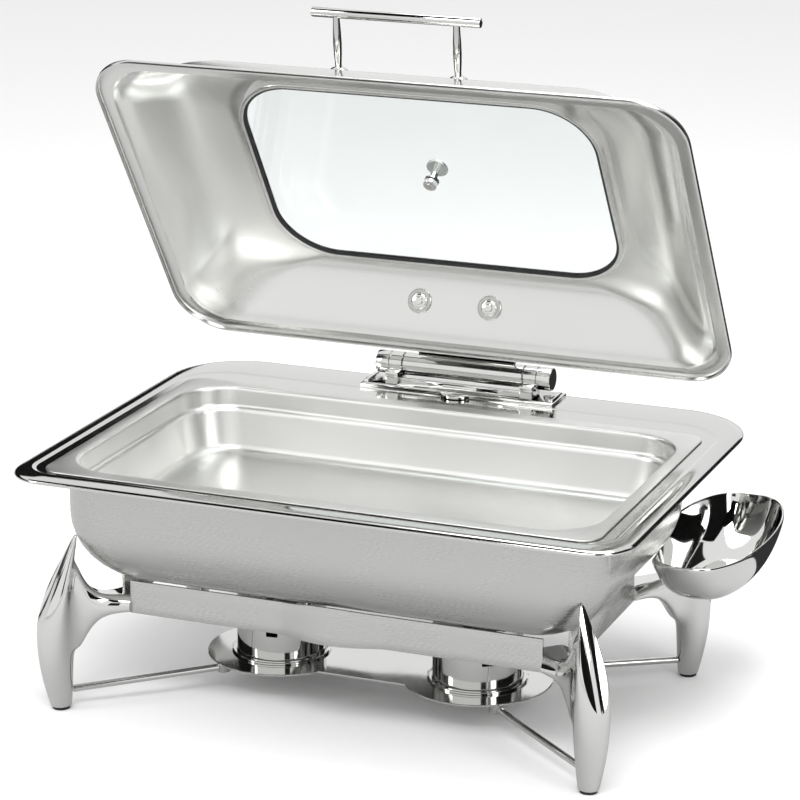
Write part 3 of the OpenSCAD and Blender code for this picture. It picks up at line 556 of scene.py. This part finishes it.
flange = [food_ring(0.3, flange_top - 4), food_ring(-1, ledge_z + 0.1),
          (food_half - 0.9, -food_y + 0.9, food_y - 0.9, 18, 18, ledge_z + 0.1),
          (food_half - 0.2, -food_y + 0.2, food_y - 0.2, 19, 19, ledge_z + 0.4),
          (food_half, -food_y, food_y, 19, 19, ledge_z + 0.9),
          (food_half - 0.5, -food_y + 0.5, food_y - 0.5, 18.6, 18.6, flange_top - 0.1),
          (food_half - 1.4, -food_y + 1.4, food_y - 1.4, 18, 18, flange_top),
          food_ring(-2.2, flange_top), food_ring(-0.9, flange_top - 0.2),
          food_ring(0.2, flange_top - 0.9), food_ring(0.9, flange_top - 2.2),
          food_ring(1.3, flange_top - 4)]
food_pan = pressed("food_pan_sheet", food_wall(0) + flange + food_wall(1.0)[::-1], steps=14)
fit_out(food_pan, food_satin, "food_pan", "polished_steel", "food_pan")

# %% [markdown]
# ## Lid
# The lid is drawn in its closed place, where its section is easy to read, and swung open about
# the hinge afterwards. Its dome rises in a long soft slope at the ends and a steeper one at the
# front and rear, up to a flat top with the window in it.

# %% Lid shell
lid_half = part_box("lid_shell")[1][0] / MM
lid_front, lid_rear = -182.0, 184.5
axis_above_rim, lid_height, lid_gauge = 17.5, 60.0, 1.2
lid_z = axis_z / MM - axis_above_rim
lid_top = lid_z + lid_height
window_y = 0.3
window_half, window_deep, window_corner = 172.5, 110.0, 54.0
swing = (Matrix.Translation((0, axis_y, axis_z)) @ Matrix.Rotation(-open_angle, 4, "X")
         @ Matrix.Translation((0, -axis_y, -axis_z)))


def swung(piece):
    return settle(piece, swing)


# Inset at the ends, at the front and at the rear, and height above the rim.
section = [(12, 12, 12, 6), (15, 14, 15, 9), (24, 17, 20, 14), (37, 22, 30, 26), (56, 33, 46, 45),
           (77, 46, 56, 54.5), (96, 60, 66, 60)]


def smooth_section(points, parts=3):
    fine = []
    for i in range(len(points) - 1):
        p0, p1 = points[max(i - 1, 0)], points[i]
        p2, p3 = points[i + 1], points[min(i + 2, len(points) - 1)]
        for k in range(parts):
            t = k / parts
            fine.append(tuple(0.5 * (2 * b + (c - a) * t + (2 * a - 5 * b + 4 * c - d) * t * t
                                     + (3 * b - a - 3 * c + d) * t ** 3)
                              for a, b, c, d in zip(p0, p1, p2, p3)))
    return fine + [points[-1]]


def dome_ring(p, g):
    corner = 44 + p[0] * 0.2
    return (lid_half - p[0] - g, lid_front + p[1] + g, lid_rear - p[2] - g, corner, corner,
            lid_z + p[3] - g)


def lid_rim(inset, z):
    return (lid_half - inset, lid_front + inset, lid_rear - inset, 50 - inset, 50 - inset,
            lid_z + z)


def hole(z):
    return (window_half + 1.5, window_y - window_deep - 1.5, window_y + window_deep + 1.5,
            window_corner + 1.5, window_corner + 1.5, z)


dome = smooth_section(section)
shell = [lid_rim(1.2, 0), lid_rim(0.3, 0.6), lid_rim(0, 2), lid_rim(0, 4), lid_rim(0.5, 5.3),
         lid_rim(1.8, 6), lid_rim(6, 6)]
shell += [dome_ring(p, 0) for p in dome] + [hole(lid_top), hole(lid_top - lid_gauge)]
shell += [dome_ring(p, lid_gauge) for p in dome[::-1]]
shell += [lid_rim(10, 4.8), lid_rim(3, 4.8), lid_rim(1.9, 4), lid_rim(1.5, 2), lid_rim(1.9, 0.2)]
lid_shell = pressed("lid_dome", shell, steps=14, loop=True)
fit_out(swung(lid_shell), lid_satin, "lid", "brushed_steel", "lid_shell")

# %% [markdown]
# ## Window
# A pane of tempered glass lies in a rubber gasket, and a thin pressed frame clamps both to the
# lid from below.

# %% Glass, gasket and frame
seal_t, glass_t = 1.0, 4.0
glass_z = lid_top - lid_gauge - seal_t - glass_t


def plate_ring(grow, z):
    return (window_half + grow, window_y - window_deep - grow, window_y + window_deep + grow,
            window_corner + grow, window_corner + grow, z)


glass = pressed("window_pane", [plate_ring(3.4, glass_z), plate_ring(3.8, glass_z + 0.4),
                                plate_ring(3.8, glass_z + 3.6), plate_ring(3.4, glass_z + 4)],
                steps=16)
hole_tool = turned("tool", [(3.5, -10), (3.5, 10)], (0, window_y, glass_z + 2))
cut(glass, hole_tool)
only(glass)
bpy.ops.object.shade_flat()
fit_out(swung(glass), clear_glass, "lid", "clear_glass", "window_glass")
gasket = pressed("window_seal", [plate_ring(0.3, glass_z - 1), plate_ring(-0.2, glass_z - 0.6),
                                 plate_ring(0, glass_z), plate_ring(3.8, glass_z),
                                 plate_ring(3.8, glass_z + 4), plate_ring(0, glass_z + 4),
                                 plate_ring(0, glass_z + 5), plate_ring(5, glass_z + 5),
                                 plate_ring(5, glass_z - 1)], steps=16, loop=True)
fit_out(swung(gasket), black_rubber, "lid", "black_rubber", "window_gasket")
retainer = pressed("window_frame", [plate_ring(2.5, glass_z - 1), plate_ring(2.6, glass_z - 1.8),
                                    plate_ring(3.0, glass_z - 2), plate_ring(6.1, glass_z - 2),
                                    plate_ring(6.6, glass_z - 1.5), plate_ring(6.6, glass_z + 5),
                                    plate_ring(5.1, glass_z + 5), plate_ring(5.1, glass_z - 1)],
                   steps=16, loop=True)
fit_out(swung(retainer), lid_satin, "lid", "brushed_steel", "window_retainer")

# %% [markdown]
# ## Steam vent
# A domed cap stands on a short threaded stem in the middle of the glass, with a nut inside.

# %% Vent
vent_place = (0, window_y, glass_z)
stem = turned("vent_pillar", [(3.2, -5), (3.5, -4.6), (3.5, -4), (6.2, -4), (6.5, -3.6), (6.5, 0),
                              (3.5, 0.02), (3.5, 4), (7, 4), (7, 5.6), (6.6, 6), (3.5, 6),
                              (3.5, 22), (3.1, 23.6), (2.4, 24)], vent_place)
fit_out(swung(stem), turned_mirror, "lid", "polished_steel", "vent_stem")
cap = turned("vent_cap", [(9.9, 21), (10.5, 21.4), (10.5, 22.4), (9.6, 23.4), (7.6, 24.4), (5, 25),
                          (3.6, 25)], vent_place)
fit_out(swung(cap), turned_mirror, "lid", "polished_steel", "vent_disc")

# %% [markdown]
# ## Handle
# A straight bar stands on two slim posts, square to the lid's front wall. Each post is waisted
# where it leaves a domed collar, and a screw from inside the lid holds it.

# %% Handle
lean = math.radians(62)
handle_out = Vector((0, -math.sin(lean), math.cos(lean)))
handle_base = Vector((0, lid_front + 40, lid_z + 50.2))
post_x, post_length = 58, 54
bar = turned("handle_grip", [(3.4, -81.5), (4.2, -81.2), (4.5, -80.4), (4.5, 80.4), (4.2, 81.2),
                             (3.4, 81.5)], handle_base + post_length * handle_out, (1, 0, 0))
fit_out(swung(bar), turned_mirror, "lid", "polished_steel", "handle_bar")
for side, x in (("left", -post_x), ("right", post_x)):
    foot = handle_base + Vector((x, 0, 0))
    post = turned(f"handle_pillar_{side}", [(3.0, 3.5), (3.0, 7), (3.6, 16), (3.9, 26), (3.7, 36),
                                            (3.2, 45), (3.0, 50.5)], foot, handle_out)
    fit_out(swung(post), turned_mirror, "lid", "polished_steel", f"handle_post_{side}")
    collar = turned(f"handle_collar_{side}", [(8.4, -2.5), (8.5, 0.6), (8.0, 1.6), (6.4, 2.9),
                                              (4.4, 3.7), (3.0, 4)], foot, handle_out)
    screw = turned(f"handle_screw_{side}", [(3.8, -7.4), (4.5, -7), (4.5, -6), (4.0, -5.5),
                                            (2.0, -5.5), (2.0, 3)], foot, handle_out)
    fit_out(swung(collar), turned_mirror, "lid", "polished_steel",
            *first(side == "left", "handle_collars"))
    fit_out(swung(screw), small_steel, "lid", "satin_steel",
            *first(side == "left", "handle_screws"))

# %% [markdown]
# ## Hinge
# A pin runs through two end caps and two knuckles on square posts. The long middle tube turns
# on it with the lid, and hides the damper and spring. A folded arm joins the tube to the lid's
# rear wall, where two bolts hold it.

# %% Hinge on the pan
ax = (axis_y / MM, axis_z / MM)
plate_top = shelf_z + 2.5
plate = block("hinge_foot_plate", (-100, ax[0] - 29, shelf_z), (100, ax[0] + 14, plate_top), 0.5)
for x in (-1, 1):
    edge = block("edge", (x * 96 - 2, ax[0] - 22, shelf_z + 1),
                 (x * 96 + 2, ax[0] + 7, plate_top + 3.0), 0.8)
    add_to(plate, edge)
tongue = turned("tongue", [(17, shelf_z + 0.01), (17, plate_top - 0.4), (16.6, plate_top - 0.01)],
                (0, ax[0] - 22, 0), steps=40)
add_to(plate, tongue)
fit_out(plate, sheet_mirror, "water_pan", "polished_steel", "hinge_base_plate")
for side, x in (("left", -1), ("right", 1)):
    inner_x, outer_x = 63.1 * x, 76.6 * x
    low_x, high_x = min(inner_x, outer_x), max(inner_x, outer_x)
    post = block(f"hinge_pillar_{side}", (low_x + 0.2, ax[0] - 21, plate_top),
                 (high_x - 0.2, ax[0] + 3, ax[1] - 4), 0.7)
    knuckle = turned("knuckle", [(10.9, low_x), (11.5, low_x + 0.6), (11.5, high_x - 0.6),
                                 (10.9, high_x)], (0, *ax), (1, 0, 0))
    add_to(post, knuckle)
    fit_out(post, turned_mirror, "water_pan", "polished_steel", f"hinge_post_{side}")
    end = turned(f"hinge_cap_{side}", [(10.9, 76.7), (11.5, 77.3), (11.5, 89.6), (11.0, 90.6),
                                       (10.0, 91.0)], (0, *ax), (x, 0, 0))
    fit_out(end, turned_mirror, "water_pan", "polished_steel", f"hinge_end_cap_{side}")
leaf = block("hinge_slotted_leaf", (-63, ax[0] - 17, plate_top), (63, ax[0] - 15, ax[1] - 10), 0.4)
cut(leaf, block("tool", (-18, ax[0] - 25, plate_top + 1.4), (18, ax[0] - 5, plate_top + 4), 1.2))
fit_out(leaf, sheet_mirror, "water_pan", "polished_steel", "hinge_front_leaf")

# %% Hinge on the lid
tube = turned("hinge_tube", [(10.9, -62.5), (11.5, -61.9), (11.5, 61.9), (10.9, 62.5)], (0, *ax),
              (1, 0, 0))
bore = turned("tool", [(9.3, -70), (9.3, 70)], (0, *ax), (1, 0, 0))
fit_out(swung(cut(tube, bore)), turned_mirror, "lid", "polished_steel", "hinge_barrel")

wall_low, wall_high = (20.0, 14.0), (46.0, 45.0)
wall_run = math.dist(wall_low, wall_high)
wall_dir = (-(wall_high[0] - wall_low[0]) / wall_run, (wall_high[1] - wall_low[1]) / wall_run)
wall_out = (wall_dir[1], -wall_dir[0])


def on_wall(along, out):
    return (lid_rear - wall_low[0] + along * wall_dir[0] + out * wall_out[0],
            lid_z + wall_low[1] + along * wall_dir[1] + out * wall_out[1])


bend = on_wall(14, 6)
arm = prism("hinge_lid_arm", [(ax[0], ax[1] + 8), (ax[0], ax[1] + 11.5), (bend[0], bend[1] + 3),
                              on_wall(16, 3.5), on_wall(39, 3.5), on_wall(39, 0.2), on_wall(8, 0.2),
                              on_wall(8, 3.5), on_wall(12, 3.5)], -50, 50)
cut(arm, turned("tool", [(11.6, -70), (11.6, 70)], (0, *ax), (1, 0, 0)))
fit_out(swung(arm), sheet_mirror, "lid", "polished_steel", "hinge_arm")
bolt_way = Vector((0, wall_out[0], wall_out[1]))
for side, x in (("left", -36), ("right", 36)):
    seat = Vector((x, *on_wall(26, 0)))
    bolt = turned(f"hinge_bolt_{side}", [(3.0, -7.2), (3.8, -7.0), (4.2, -6.4), (4.3, -5.0),
                                         (6.6, -4.9), (7.7, -4.4), (8.3, -3.5), (8.3, -3.1),
                                         (3.0, -3.06), (3.0, 3.5), (5, 3.5), (5, 7.2)],
                  seat, bolt_way)
    washer = turned(f"hinge_washer_{side}", [(3.2, -3.05), (11.4, -3.04), (12, -2.6), (12, -2.1),
                                             (11.8, -1.85)],
                    seat, bolt_way)
    fit_out(swung(bolt), turned_mirror, "lid", "polished_steel",
            *first(side == "left", "hinge_bolts"))
    fit_out(swung(washer), small_steel, "lid", "satin_steel",
            *first(side == "left", "hinge_washers"))

# %% [markdown]
# ## Horn-shaped legs
# Each leg is a casting, buffed to a mirror. It is modelled the way a sculptor blocks out
# a horn: a stack of ovals for the leg, and an arm drawn out of its inner side, all smoothed by
# subdivision so that the saddle between them flows. The leaf-shaped hollow is cut afterwards,
# so that its edge stays crisp.

# %% Legs
foot_x, foot_y = 258.0, 148.5
# Sections of the horn: height, middle, half depth and half width.
leg_sections = [(3, -1.2, 9.8, 8.8), (5, -1, 10.4, 9.3), (20, 0.5, 13.2, 11.4),
                (40, 2.2, 15.8, 13.5), (58, 2.5, 17.4, 14.8), (80, 2.8, 17.4, 15.6),
                (100, 1.3, 14.6, 15.2), (116, -1.8, 11.2, 13.8), (130, -6, 8.2, 11.2),
                (143, -10.6, 5.6, 8.2), (154, -15, 3.6, 5.4), (163, -18.4, 2.0, 3.0),
                (167, -20, 0.9, 1.2)]
# Sections of the arm: distance inwards, lowest, highest and half width.
arm_sections = [(-19, 58, 140, 10), (-25, 70, 124, 10.4), (-33, 81, 113, 10.6), (-43, 87, 107, 11),
                (-56, 88.8, 105.2, 13.5), (-70, 89.2, 105.3, 18.5), (-84, 89.2, 105.5, 23.5)]
# Subdivision draws the skin in, so the sections are made this much larger.
horn_swell, arm_swell = 1.05, 1.08
arm_root = (58, 143)


def horn_ring(z, middle, deep, wide):
    sides = 12
    ring = fresh("ring", bpy.ops.mesh.primitive_circle_add, vertices=sides, radius=1,
                 fill_type="NGON", rotation=(0, 0, math.radians(180 / sides)))
    return settle(ring, Matrix.Translation((middle * MM, 0, z * MM))
                  @ Matrix.Diagonal((deep * horn_swell * MM, wide * horn_swell * MM, 1, 1)))


def horn_leg(name):
    piece = bridge_rings([horn_ring(*s) for s in leg_sections], name)
    edit(piece)
    bpy.ops.mesh.select_mode(type="FACE")
    # The arm grows out of the faces on the inner side.
    choose(piece, faces=lambda f: arm_root[0] * MM < f.calc_center_median().z < arm_root[1] * MM
           and f.normal.x < -0.6)
    for reach_x, low, high, half in arm_sections:
        bpy.ops.mesh.extrude_region_move(TRANSFORM_OT_translate={"value": (0, 0, 0)})
        mesh = bmesh.from_edit_mesh(piece.data)
        chosen = [v for v in mesh.verts if v.select]
        box_z = [min(v.co.z for v in chosen), max(v.co.z for v in chosen)]
        box_y = max(abs(v.co.y) for v in chosen)
        for v in chosen:
            up = (v.co.z - box_z[0]) / (box_z[1] - box_z[0])
            v.co = (reach_x * MM, v.co.y / box_y * half * MM * arm_swell,
                    (low + up * (high - low)) * MM)
        bmesh.update_edit_mesh(piece.data)
    mesh = bmesh.from_edit_mesh(piece.data)
    layers = mesh.edges.layers.float
    crease = layers.get("crease_edge") or layers.new("crease_edge")
    for edge_item in mesh.edges:
        ends = [v.co for v in edge_item.verts]
        if all(c.x < -83.9 * MM for c in ends) or all(c.z < 3.1 * MM for c in ends):
            edge_item[crease] = 0.9
    bmesh.update_edit_mesh(piece.data)
    leave_outward()
    return apply_modifier(piece, "SUBSURF", levels=3, render_levels=3)


apron_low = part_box("front_apron")[0][2] / MM
apron_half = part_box("front_apron")[1][0] / MM
apron_y, apron_x, apron_t, apron_end = 109.5, 220.0, 2.5, 90.5
face_y, face_x = apron_y - apron_t + 0.2, apron_x - apron_t + 0.2
corner_turn = {"front_left": -135, "front_right": -45, "rear_left": 135, "rear_right": 45}
# The leaf-shaped hollow is one round gouge along the horn's outer face.
leaf_low, leaf_high, leaf_radius = Vector((17.2, 0, 84)), Vector((-17.8, 0, 164)), 40.0
leaf_way = (leaf_high - leaf_low).normalized()
leaf_side = Vector((leaf_way.z, 0, -leaf_way.x))
master = horn_leg("leg_master")
gouge = turned("tool", [(leaf_radius, -20), (leaf_radius, 110)],
               leaf_low + leaf_side * leaf_radius, leaf_way, steps=160)
plain = copy_piece(master, "leg_plain", Matrix.Identity(4))
cut(master, gouge)
round_edges(master, 0.35, 25)
for corner, angle in corner_turn.items():
    at = Matrix.Translation((math.copysign(foot_x, math.cos(math.radians(angle))) * MM,
                             math.copysign(foot_y, math.sin(math.radians(angle))) * MM, 0))
    turned_to = at @ Matrix.Rotation(math.radians(angle), 4, "Z")
    leg = copy_piece(plain if corner == "rear_right" else master, f"horn_leg_{corner}", turned_to)
    if corner == "rear_right":
        cut(leg, block("tool", (200, 30, 104), (340, 262, 200)))
    # The arms end behind the aprons' faces.
    for low, high in (((-apron_half, -130, 60), (apron_half, -face_y, 125)),
                      ((-apron_half, face_y, 60), (apron_half, 130, 125)),
                      ((face_x, -apron_end, 60), (250, apron_end, 125)),
                      ((-250, -apron_end, 60), (-face_x, apron_end, 125))):
        cut(leg, block("tool", low, high))
    smooth(leg, 30)
    fit_out(leg, cast_mirror, "stand", "polished_steel", f"leg_{corner}")
    pad = turned(f"foot_pad_{corner}", [(7.4, 0), (8, 0.4), (8, 3.2)],
                 (math.copysign(foot_x - 0.7, at.translation.x),
                  math.copysign(foot_y - 0.7, at.translation.y), 0), steps=32)
    fit_out(pad, black_rubber, "stand", "black_rubber",
            *first(corner == "front_left", "foot_pads"))
for spare in (master, plain):
    bpy.data.objects.remove(spare)

# %% [markdown]
# ## Aprons
# Four strips of brushed sheet join the legs into a frame, and the pan's rounded bottom rests on
# their upper edges. The long ones bow out in the middle. A grid is bent column by column, then
# given its thickness.

# %% Aprons
bow_half, bow_out = 51.5, 11.0
seat_gap = 0.6


def pan_under(distance):
    """Height of the pan's rounded bottom at a distance in from its wall."""
    if distance >= bottom_round:
        return pan_bottom
    return pan_bottom + bottom_round - math.sqrt(bottom_round ** 2 - (bottom_round - distance) ** 2)


def bow(x):
    return bow_out * math.cos(math.pi / 2 * x / bow_half) ** 1.2 if abs(x) < bow_half else 0.0


def long_apron(name):
    piece = fresh(name, bpy.ops.mesh.primitive_grid_add, x_subdivisions=80, y_subdivisions=4,
                  size=2)
    edit(piece)
    mesh = bmesh.from_edit_mesh(piece.data)
    for vert in mesh.verts:
        x, up = vert.co.x * apron_half, (vert.co.y + 1) / 2
        y = -apron_y - bow(x)
        top = pan_under(min(y + apron_t - body_front, bottom_round)) - seat_gap
        vert.co = (x * MM, y * MM, (apron_low + up * (top - apron_low)) * MM)
    bmesh.update_edit_mesh(piece.data)
    bpy.ops.object.mode_set(mode="OBJECT")
    apply_modifier(piece, "SOLIDIFY", thickness=apron_t * MM, offset=1)
    edit(piece)
    leave_outward()
    return smooth(round_edges(piece, 0.4, 50))


front_apron = long_apron("apron_front")
rear_apron = copy_piece(front_apron, "apron_rear", REAR)
fit_out(front_apron, apron_brushed, "stand", "brushed_steel", "front_apron")
fit_out(rear_apron, apron_brushed, "stand", "brushed_steel", "rear_apron")
end_top = pan_under(body_half - apron_x) - seat_gap
right_apron = block("apron_right", (apron_x - apron_t, -apron_end, apron_low),
                    (apron_x, apron_end, end_top), 0.4)
left_apron = copy_piece(right_apron, "apron_left", LEFT)
fit_out(right_apron, apron_brushed, "stand", "brushed_steel", "right_apron")
fit_out(left_apron, apron_brushed, "stand", "brushed_steel", "left_apron")

# %% [markdown]
# ## Spoon rest
# A boat-shaped dish of polished steel sits on the rear right leg beside the pan. Ovals of
# growing size make its outside, the same ovals a wall's thickness smaller make its inside, and
# subdivision rounds the lip.

# %% Spoon rest
dish_x, dish_y, dish_z, dish_deep, dish_wall = 283.0, 146.5, 150.0, 52.0, 3.0
dish_wide, dish_long, dish_flatness = 53.0, 116.0, 0.72
# Share of the depth, and share of the width and length, from the bottom up.
dish_section = [(0, 0.34), (0.04, 0.48), (0.14, 0.64), (0.32, 0.79), (0.56, 0.9), (0.8, 0.97),
                (0.95, 1.0)]


def oval(half_x, half_y, z):
    ring = fresh("ring", bpy.ops.mesh.primitive_circle_add, vertices=40, radius=1,
                 fill_type="NGON")
    # The long sides are flatter than those of a true ellipse.
    for vert in ring.data.vertices:
        vert.co.x = math.copysign(abs(vert.co.x) ** dish_flatness, vert.co.x)
    return settle(ring, Matrix.Translation((dish_x * MM, dish_y * MM, z * MM))
                  @ Matrix.Diagonal((half_x * MM, half_y * MM, 1, 1)))


def skin(inset):
    return [oval((dish_wide - inset) * share, (dish_long - inset) * share,
                 dish_z - (dish_deep - inset) * (1 - height)) for height, share in dish_section]


outer, hollow = skin(0), skin(dish_wall)
lip = [oval(dish_wide - inset, dish_long - inset, dish_z - drop)
       for inset, drop in ((0.4, 0.9), (1.4, 0), (2.6, 0.6))]
dish = bridge_rings(outer + lip + hollow[::-1], "spoon_dish")
apply_modifier(dish, "SUBSURF", levels=2, render_levels=2)
pan_room = pressed("tool", [(b[0] + 1.6, b[1] - 1.6, b[2] + 1.6, b[3], b[4], b[5] - 1.6)
                            for b in bottom_arc(0) + [body_ring(0, 260)]])
smooth(cut(dish, pan_room))
fit_out(dish, cast_mirror, "stand", "polished_steel", "spoon_rest")

# %% [markdown]
# ## Burner tray and brace rods
# A dumbbell-shaped plate carries the two fuel holders, and four rods brace it to the legs.

# %% Tray and rods
tray_low_z, tray_top_z = (c[2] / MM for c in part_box("burner_tray"))
holder_x, rod_r = 99.0, 3.25
lobe = [(69.6, tray_low_z), (70, tray_low_z + 0.4), (70, tray_top_z - 0.4), (69.6, tray_top_z)]
tray = turned("burner_plate", lobe, (holder_x, 0, 0), steps=96)
add_to(tray, turned("lobe", lobe, (-holder_x, 0, 0), steps=96),
       block("waist", (-80, -43, tray_low_z), (80, 43, tray_top_z), 0.3))
smooth(tray)
fit_out(tray, sheet_mirror, "stand", "polished_steel", "burner_tray")
for corner, (sx, sy) in {"front_left": (-1, -1), "front_right": (1, -1), "rear_left": (-1, 1),
                         "rear_right": (1, 1)}.items():
    a = Vector((sx * 249, sy * 139.5, 17))
    b = Vector((sx * 128, sy * 45, tray_low_z - rod_r))
    long = (b - a).length
    brace = turned(f"brace_{corner}", [(2.8, 0), (rod_r, 0.5), (rod_r, long - 0.8), (2.4, long)],
                   a, b - a, steps=32)
    fit_out(brace, turned_mirror, "stand", "polished_steel", f"brace_rod_{corner}")
    saddle = turned(f"brace_saddle_{corner}", [(5.9, -8), (6.5, -7.4), (6.5, 0)],
                    (sx * 136, sy * 51, tray_low_z), steps=32)
    fit_out(saddle, small_steel, "stand", "satin_steel",
            *first(corner == "front_left", "brace_screws"))

# %% [markdown]
# ## Fuel holders
# Each holder is a drawn cup with a small air slot in its side. It stands loose in a ring on the
# tray, so the two face different ways. A snuffer cover swings over its mouth on a rivet.

# %% Fuel holders
for side, sx, slot_turn in (("left", -1, 11), ("right", 1, 33)):
    centre = (sx * holder_x, 0, tray_top_z)
    cup = turned(f"fuel_cup_{side}", [(41.2, 0), (42, 0.8), (42, 57.4), (41.6, 58), (41.0, 57.8),
                                      (40.8, 57.2), (40.8, 2.0), (40.0, 1.2)], centre, steps=96)
    add_to(cup, block("tab", (sx * holder_x - 6, 41.4, tray_top_z + 52),
                      (sx * holder_x + 6, 48, tray_top_z + 58), 0.5))
    heading = math.radians(slot_turn - 90)
    cut(cup, settle(block("tool", (36, -5.5, 26), (48, 5.5, 35), 0.6),
                    Matrix.Translation(Vector(centre) * MM) @ Matrix.Rotation(heading, 4, "Z")))
    smooth(cup)
    fit_out(cup, sheet_mirror, f"holder_{side}", "polished_steel", f"fuel_holder_{side}")
    ring = turned(f"holder_seat_{side}", [(46.4, 0), (47, 0.3), (47, 1.8), (46.3, 2.5), (43.2, 2.5),
                                          (42.4, 2.2), (42.4, 0.02)],
                  centre, steps=96)
    fit_out(ring, sheet_mirror, "stand", "polished_steel", *first(sx < 0, "holder_rings"))
    cover_z, pivot_y = tray_top_z + 58.4, 45
    cover = turned(f"snuffer_{side}", [(42, 0), (42.5, 0.3), (42.5, 0.9), (42, 1.2)],
                   (sx * holder_x, 0, cover_z), steps=96)
    add_to(cover, block("ear", (sx * holder_x - 5.5, 36, cover_z),
                        (sx * holder_x + 5.5, 50, cover_z + 1.2), 0.3))
    cut(cover, turned("tool", [(2.05, -5), (2.05, 5)], (sx * holder_x, pivot_y, cover_z)))
    fit_out(cover, sheet_mirror, f"cover_{side}", "polished_steel", f"snuffer_cover_{side}")
    knob = turned(f"snuffer_knob_{side}", [(1.5, 0), (1.5, 1.2), (3, 1.2), (2.4, 3), (4.4, 3.4),
                                           (5, 4.4), (5, 5.4), (4.2, 6.4), (2.8, 6.7)],
                  (sx * holder_x, -26, cover_z), steps=40)
    fit_out(knob, small_steel, f"cover_{side}", "satin_steel", f"cover_knob_{side}")
    rivet = turned(f"snuffer_rivet_{side}", [(2, -6.4), (2, 1.6), (3.2, 1.6), (3.5, 2),
                                             (3, 2.6), (1.6, 2.8)],
                   (sx * holder_x, pivot_y, cover_z), steps=32)
    fit_out(rivet, small_steel, f"holder_{side}", "satin_steel", f"cover_pivot_{side}")

# %% [markdown]
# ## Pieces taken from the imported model
# The studs, the pin and what is inside the hinge are already the right shape, so they only get
# their finish.

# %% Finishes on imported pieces
packed = {"apron_screws": small_steel, "hinge_base_screws": small_steel, "hinge_pin": small_steel,
          "hinge_bushes": white_nylon, "hinge_damper": spring_dark, "hinge_spring": spring_dark}
for node_name, material in packed.items():
    mesh_data = frame["nodes"][node_name].data
    mesh_data.materials.clear()
    mesh_data.materials.append(material)

# %% [markdown]
# ## Studio
# The chafer stands on a wide pale floor in a white room, with large soft lights above it, in
# front and at both sides. Dark cards, seen only in reflections, give the steel its dark lines.

# %% Studio
floor_paint = new_material("matt_white_sweep", "#F4F4F4", 0.0, 0.65)[0]
floor = fresh("studio_floor", bpy.ops.mesh.primitive_plane_add, size=30)
floor.data.materials.append(floor_paint)

world = bpy.data.worlds.new("studio")
bpy.context.scene.world = world
world.use_nodes = True
room = world.node_tree.nodes["Background"]
room.inputs["Color"].default_value, room.inputs["Strength"].default_value = (1, 1, 1, 1), 1.0
bpy.context.scene.view_settings.view_transform = "Standard"


def soft_light(name, place, towards, wide, high, power):
    data = bpy.data.lights.new(name, "AREA")
    data.shape, data.size, data.size_y, data.energy = "RECTANGLE", wide, high, power
    light = bpy.data.objects.new(name, data)
    bpy.context.scene.collection.objects.link(light)
    light.location = place
    light.rotation_euler = (Vector(towards) - Vector(place)).to_track_quat("-Z", "Y").to_euler()


soft_light("overhead", (0.3, 0.4, 2.3), (0, 0, 0.3), 2.0, 1.0, 26)
soft_light("front", (0.2, -1.5, 2.1), (0, 0, 0.2), 1.4, 0.7, 22)
soft_light("left", (-2.0, -1.6, 1.6), (0, 0, 0.3), 0.5, 1.6, 16)
soft_light("right", (2.2, -1.2, 1.5), (0, 0, 0.3), 0.5, 1.4, 14)


def card(name, shade, low, high):
    """A card that only the steel's reflections see, between two corners in metres."""
    material, shader = new_material(name + "_board", shade, 0.0, 0.95)
    shader.inputs["Specular IOR Level"].default_value = 0.0
    board = block(name, [v / MM for v in low], [v / MM for v in high], 0.05, 1)
    board.data.materials.append(material)
    board.visible_camera = board.visible_shadow = board.visible_diffuse = False
    board.visible_transmission = False


card("ceiling_board", "#0C0C0C", (-2.6, -3.0, 2.7), (2.6, 0.2, 2.72))
card("left_board", "#161616", (-2.9, -2.2, 0.2), (-2.88, 1.8, 1.9))
card("right_board", "#141414", (3.1, -1.2, 0.2), (3.12, 3.0, 4.4))
card("right_far_board", "#1C1C1C", (0.9, 3.2, 0.1), (3.1, 3.22, 2.4))
card("front_right_board", "#2A2A2A", (1.9, -3.4, 0.2), (3.2, -3.38, 2.2))
card("left_far_board", "#1A1A1A", (-3.2, 1.6, 0.3), (-1.9, 3.4, 2.3))
card("front_floor_board", "#BDBDBD", (-4.0, -4.5, 0.0002), (4.0, 0.35, 0.0004))
card("rear_floor_board", "#2C2C2C", (-4.0, 0.35, 0.0002), (4.0, 4.5, 0.0004))
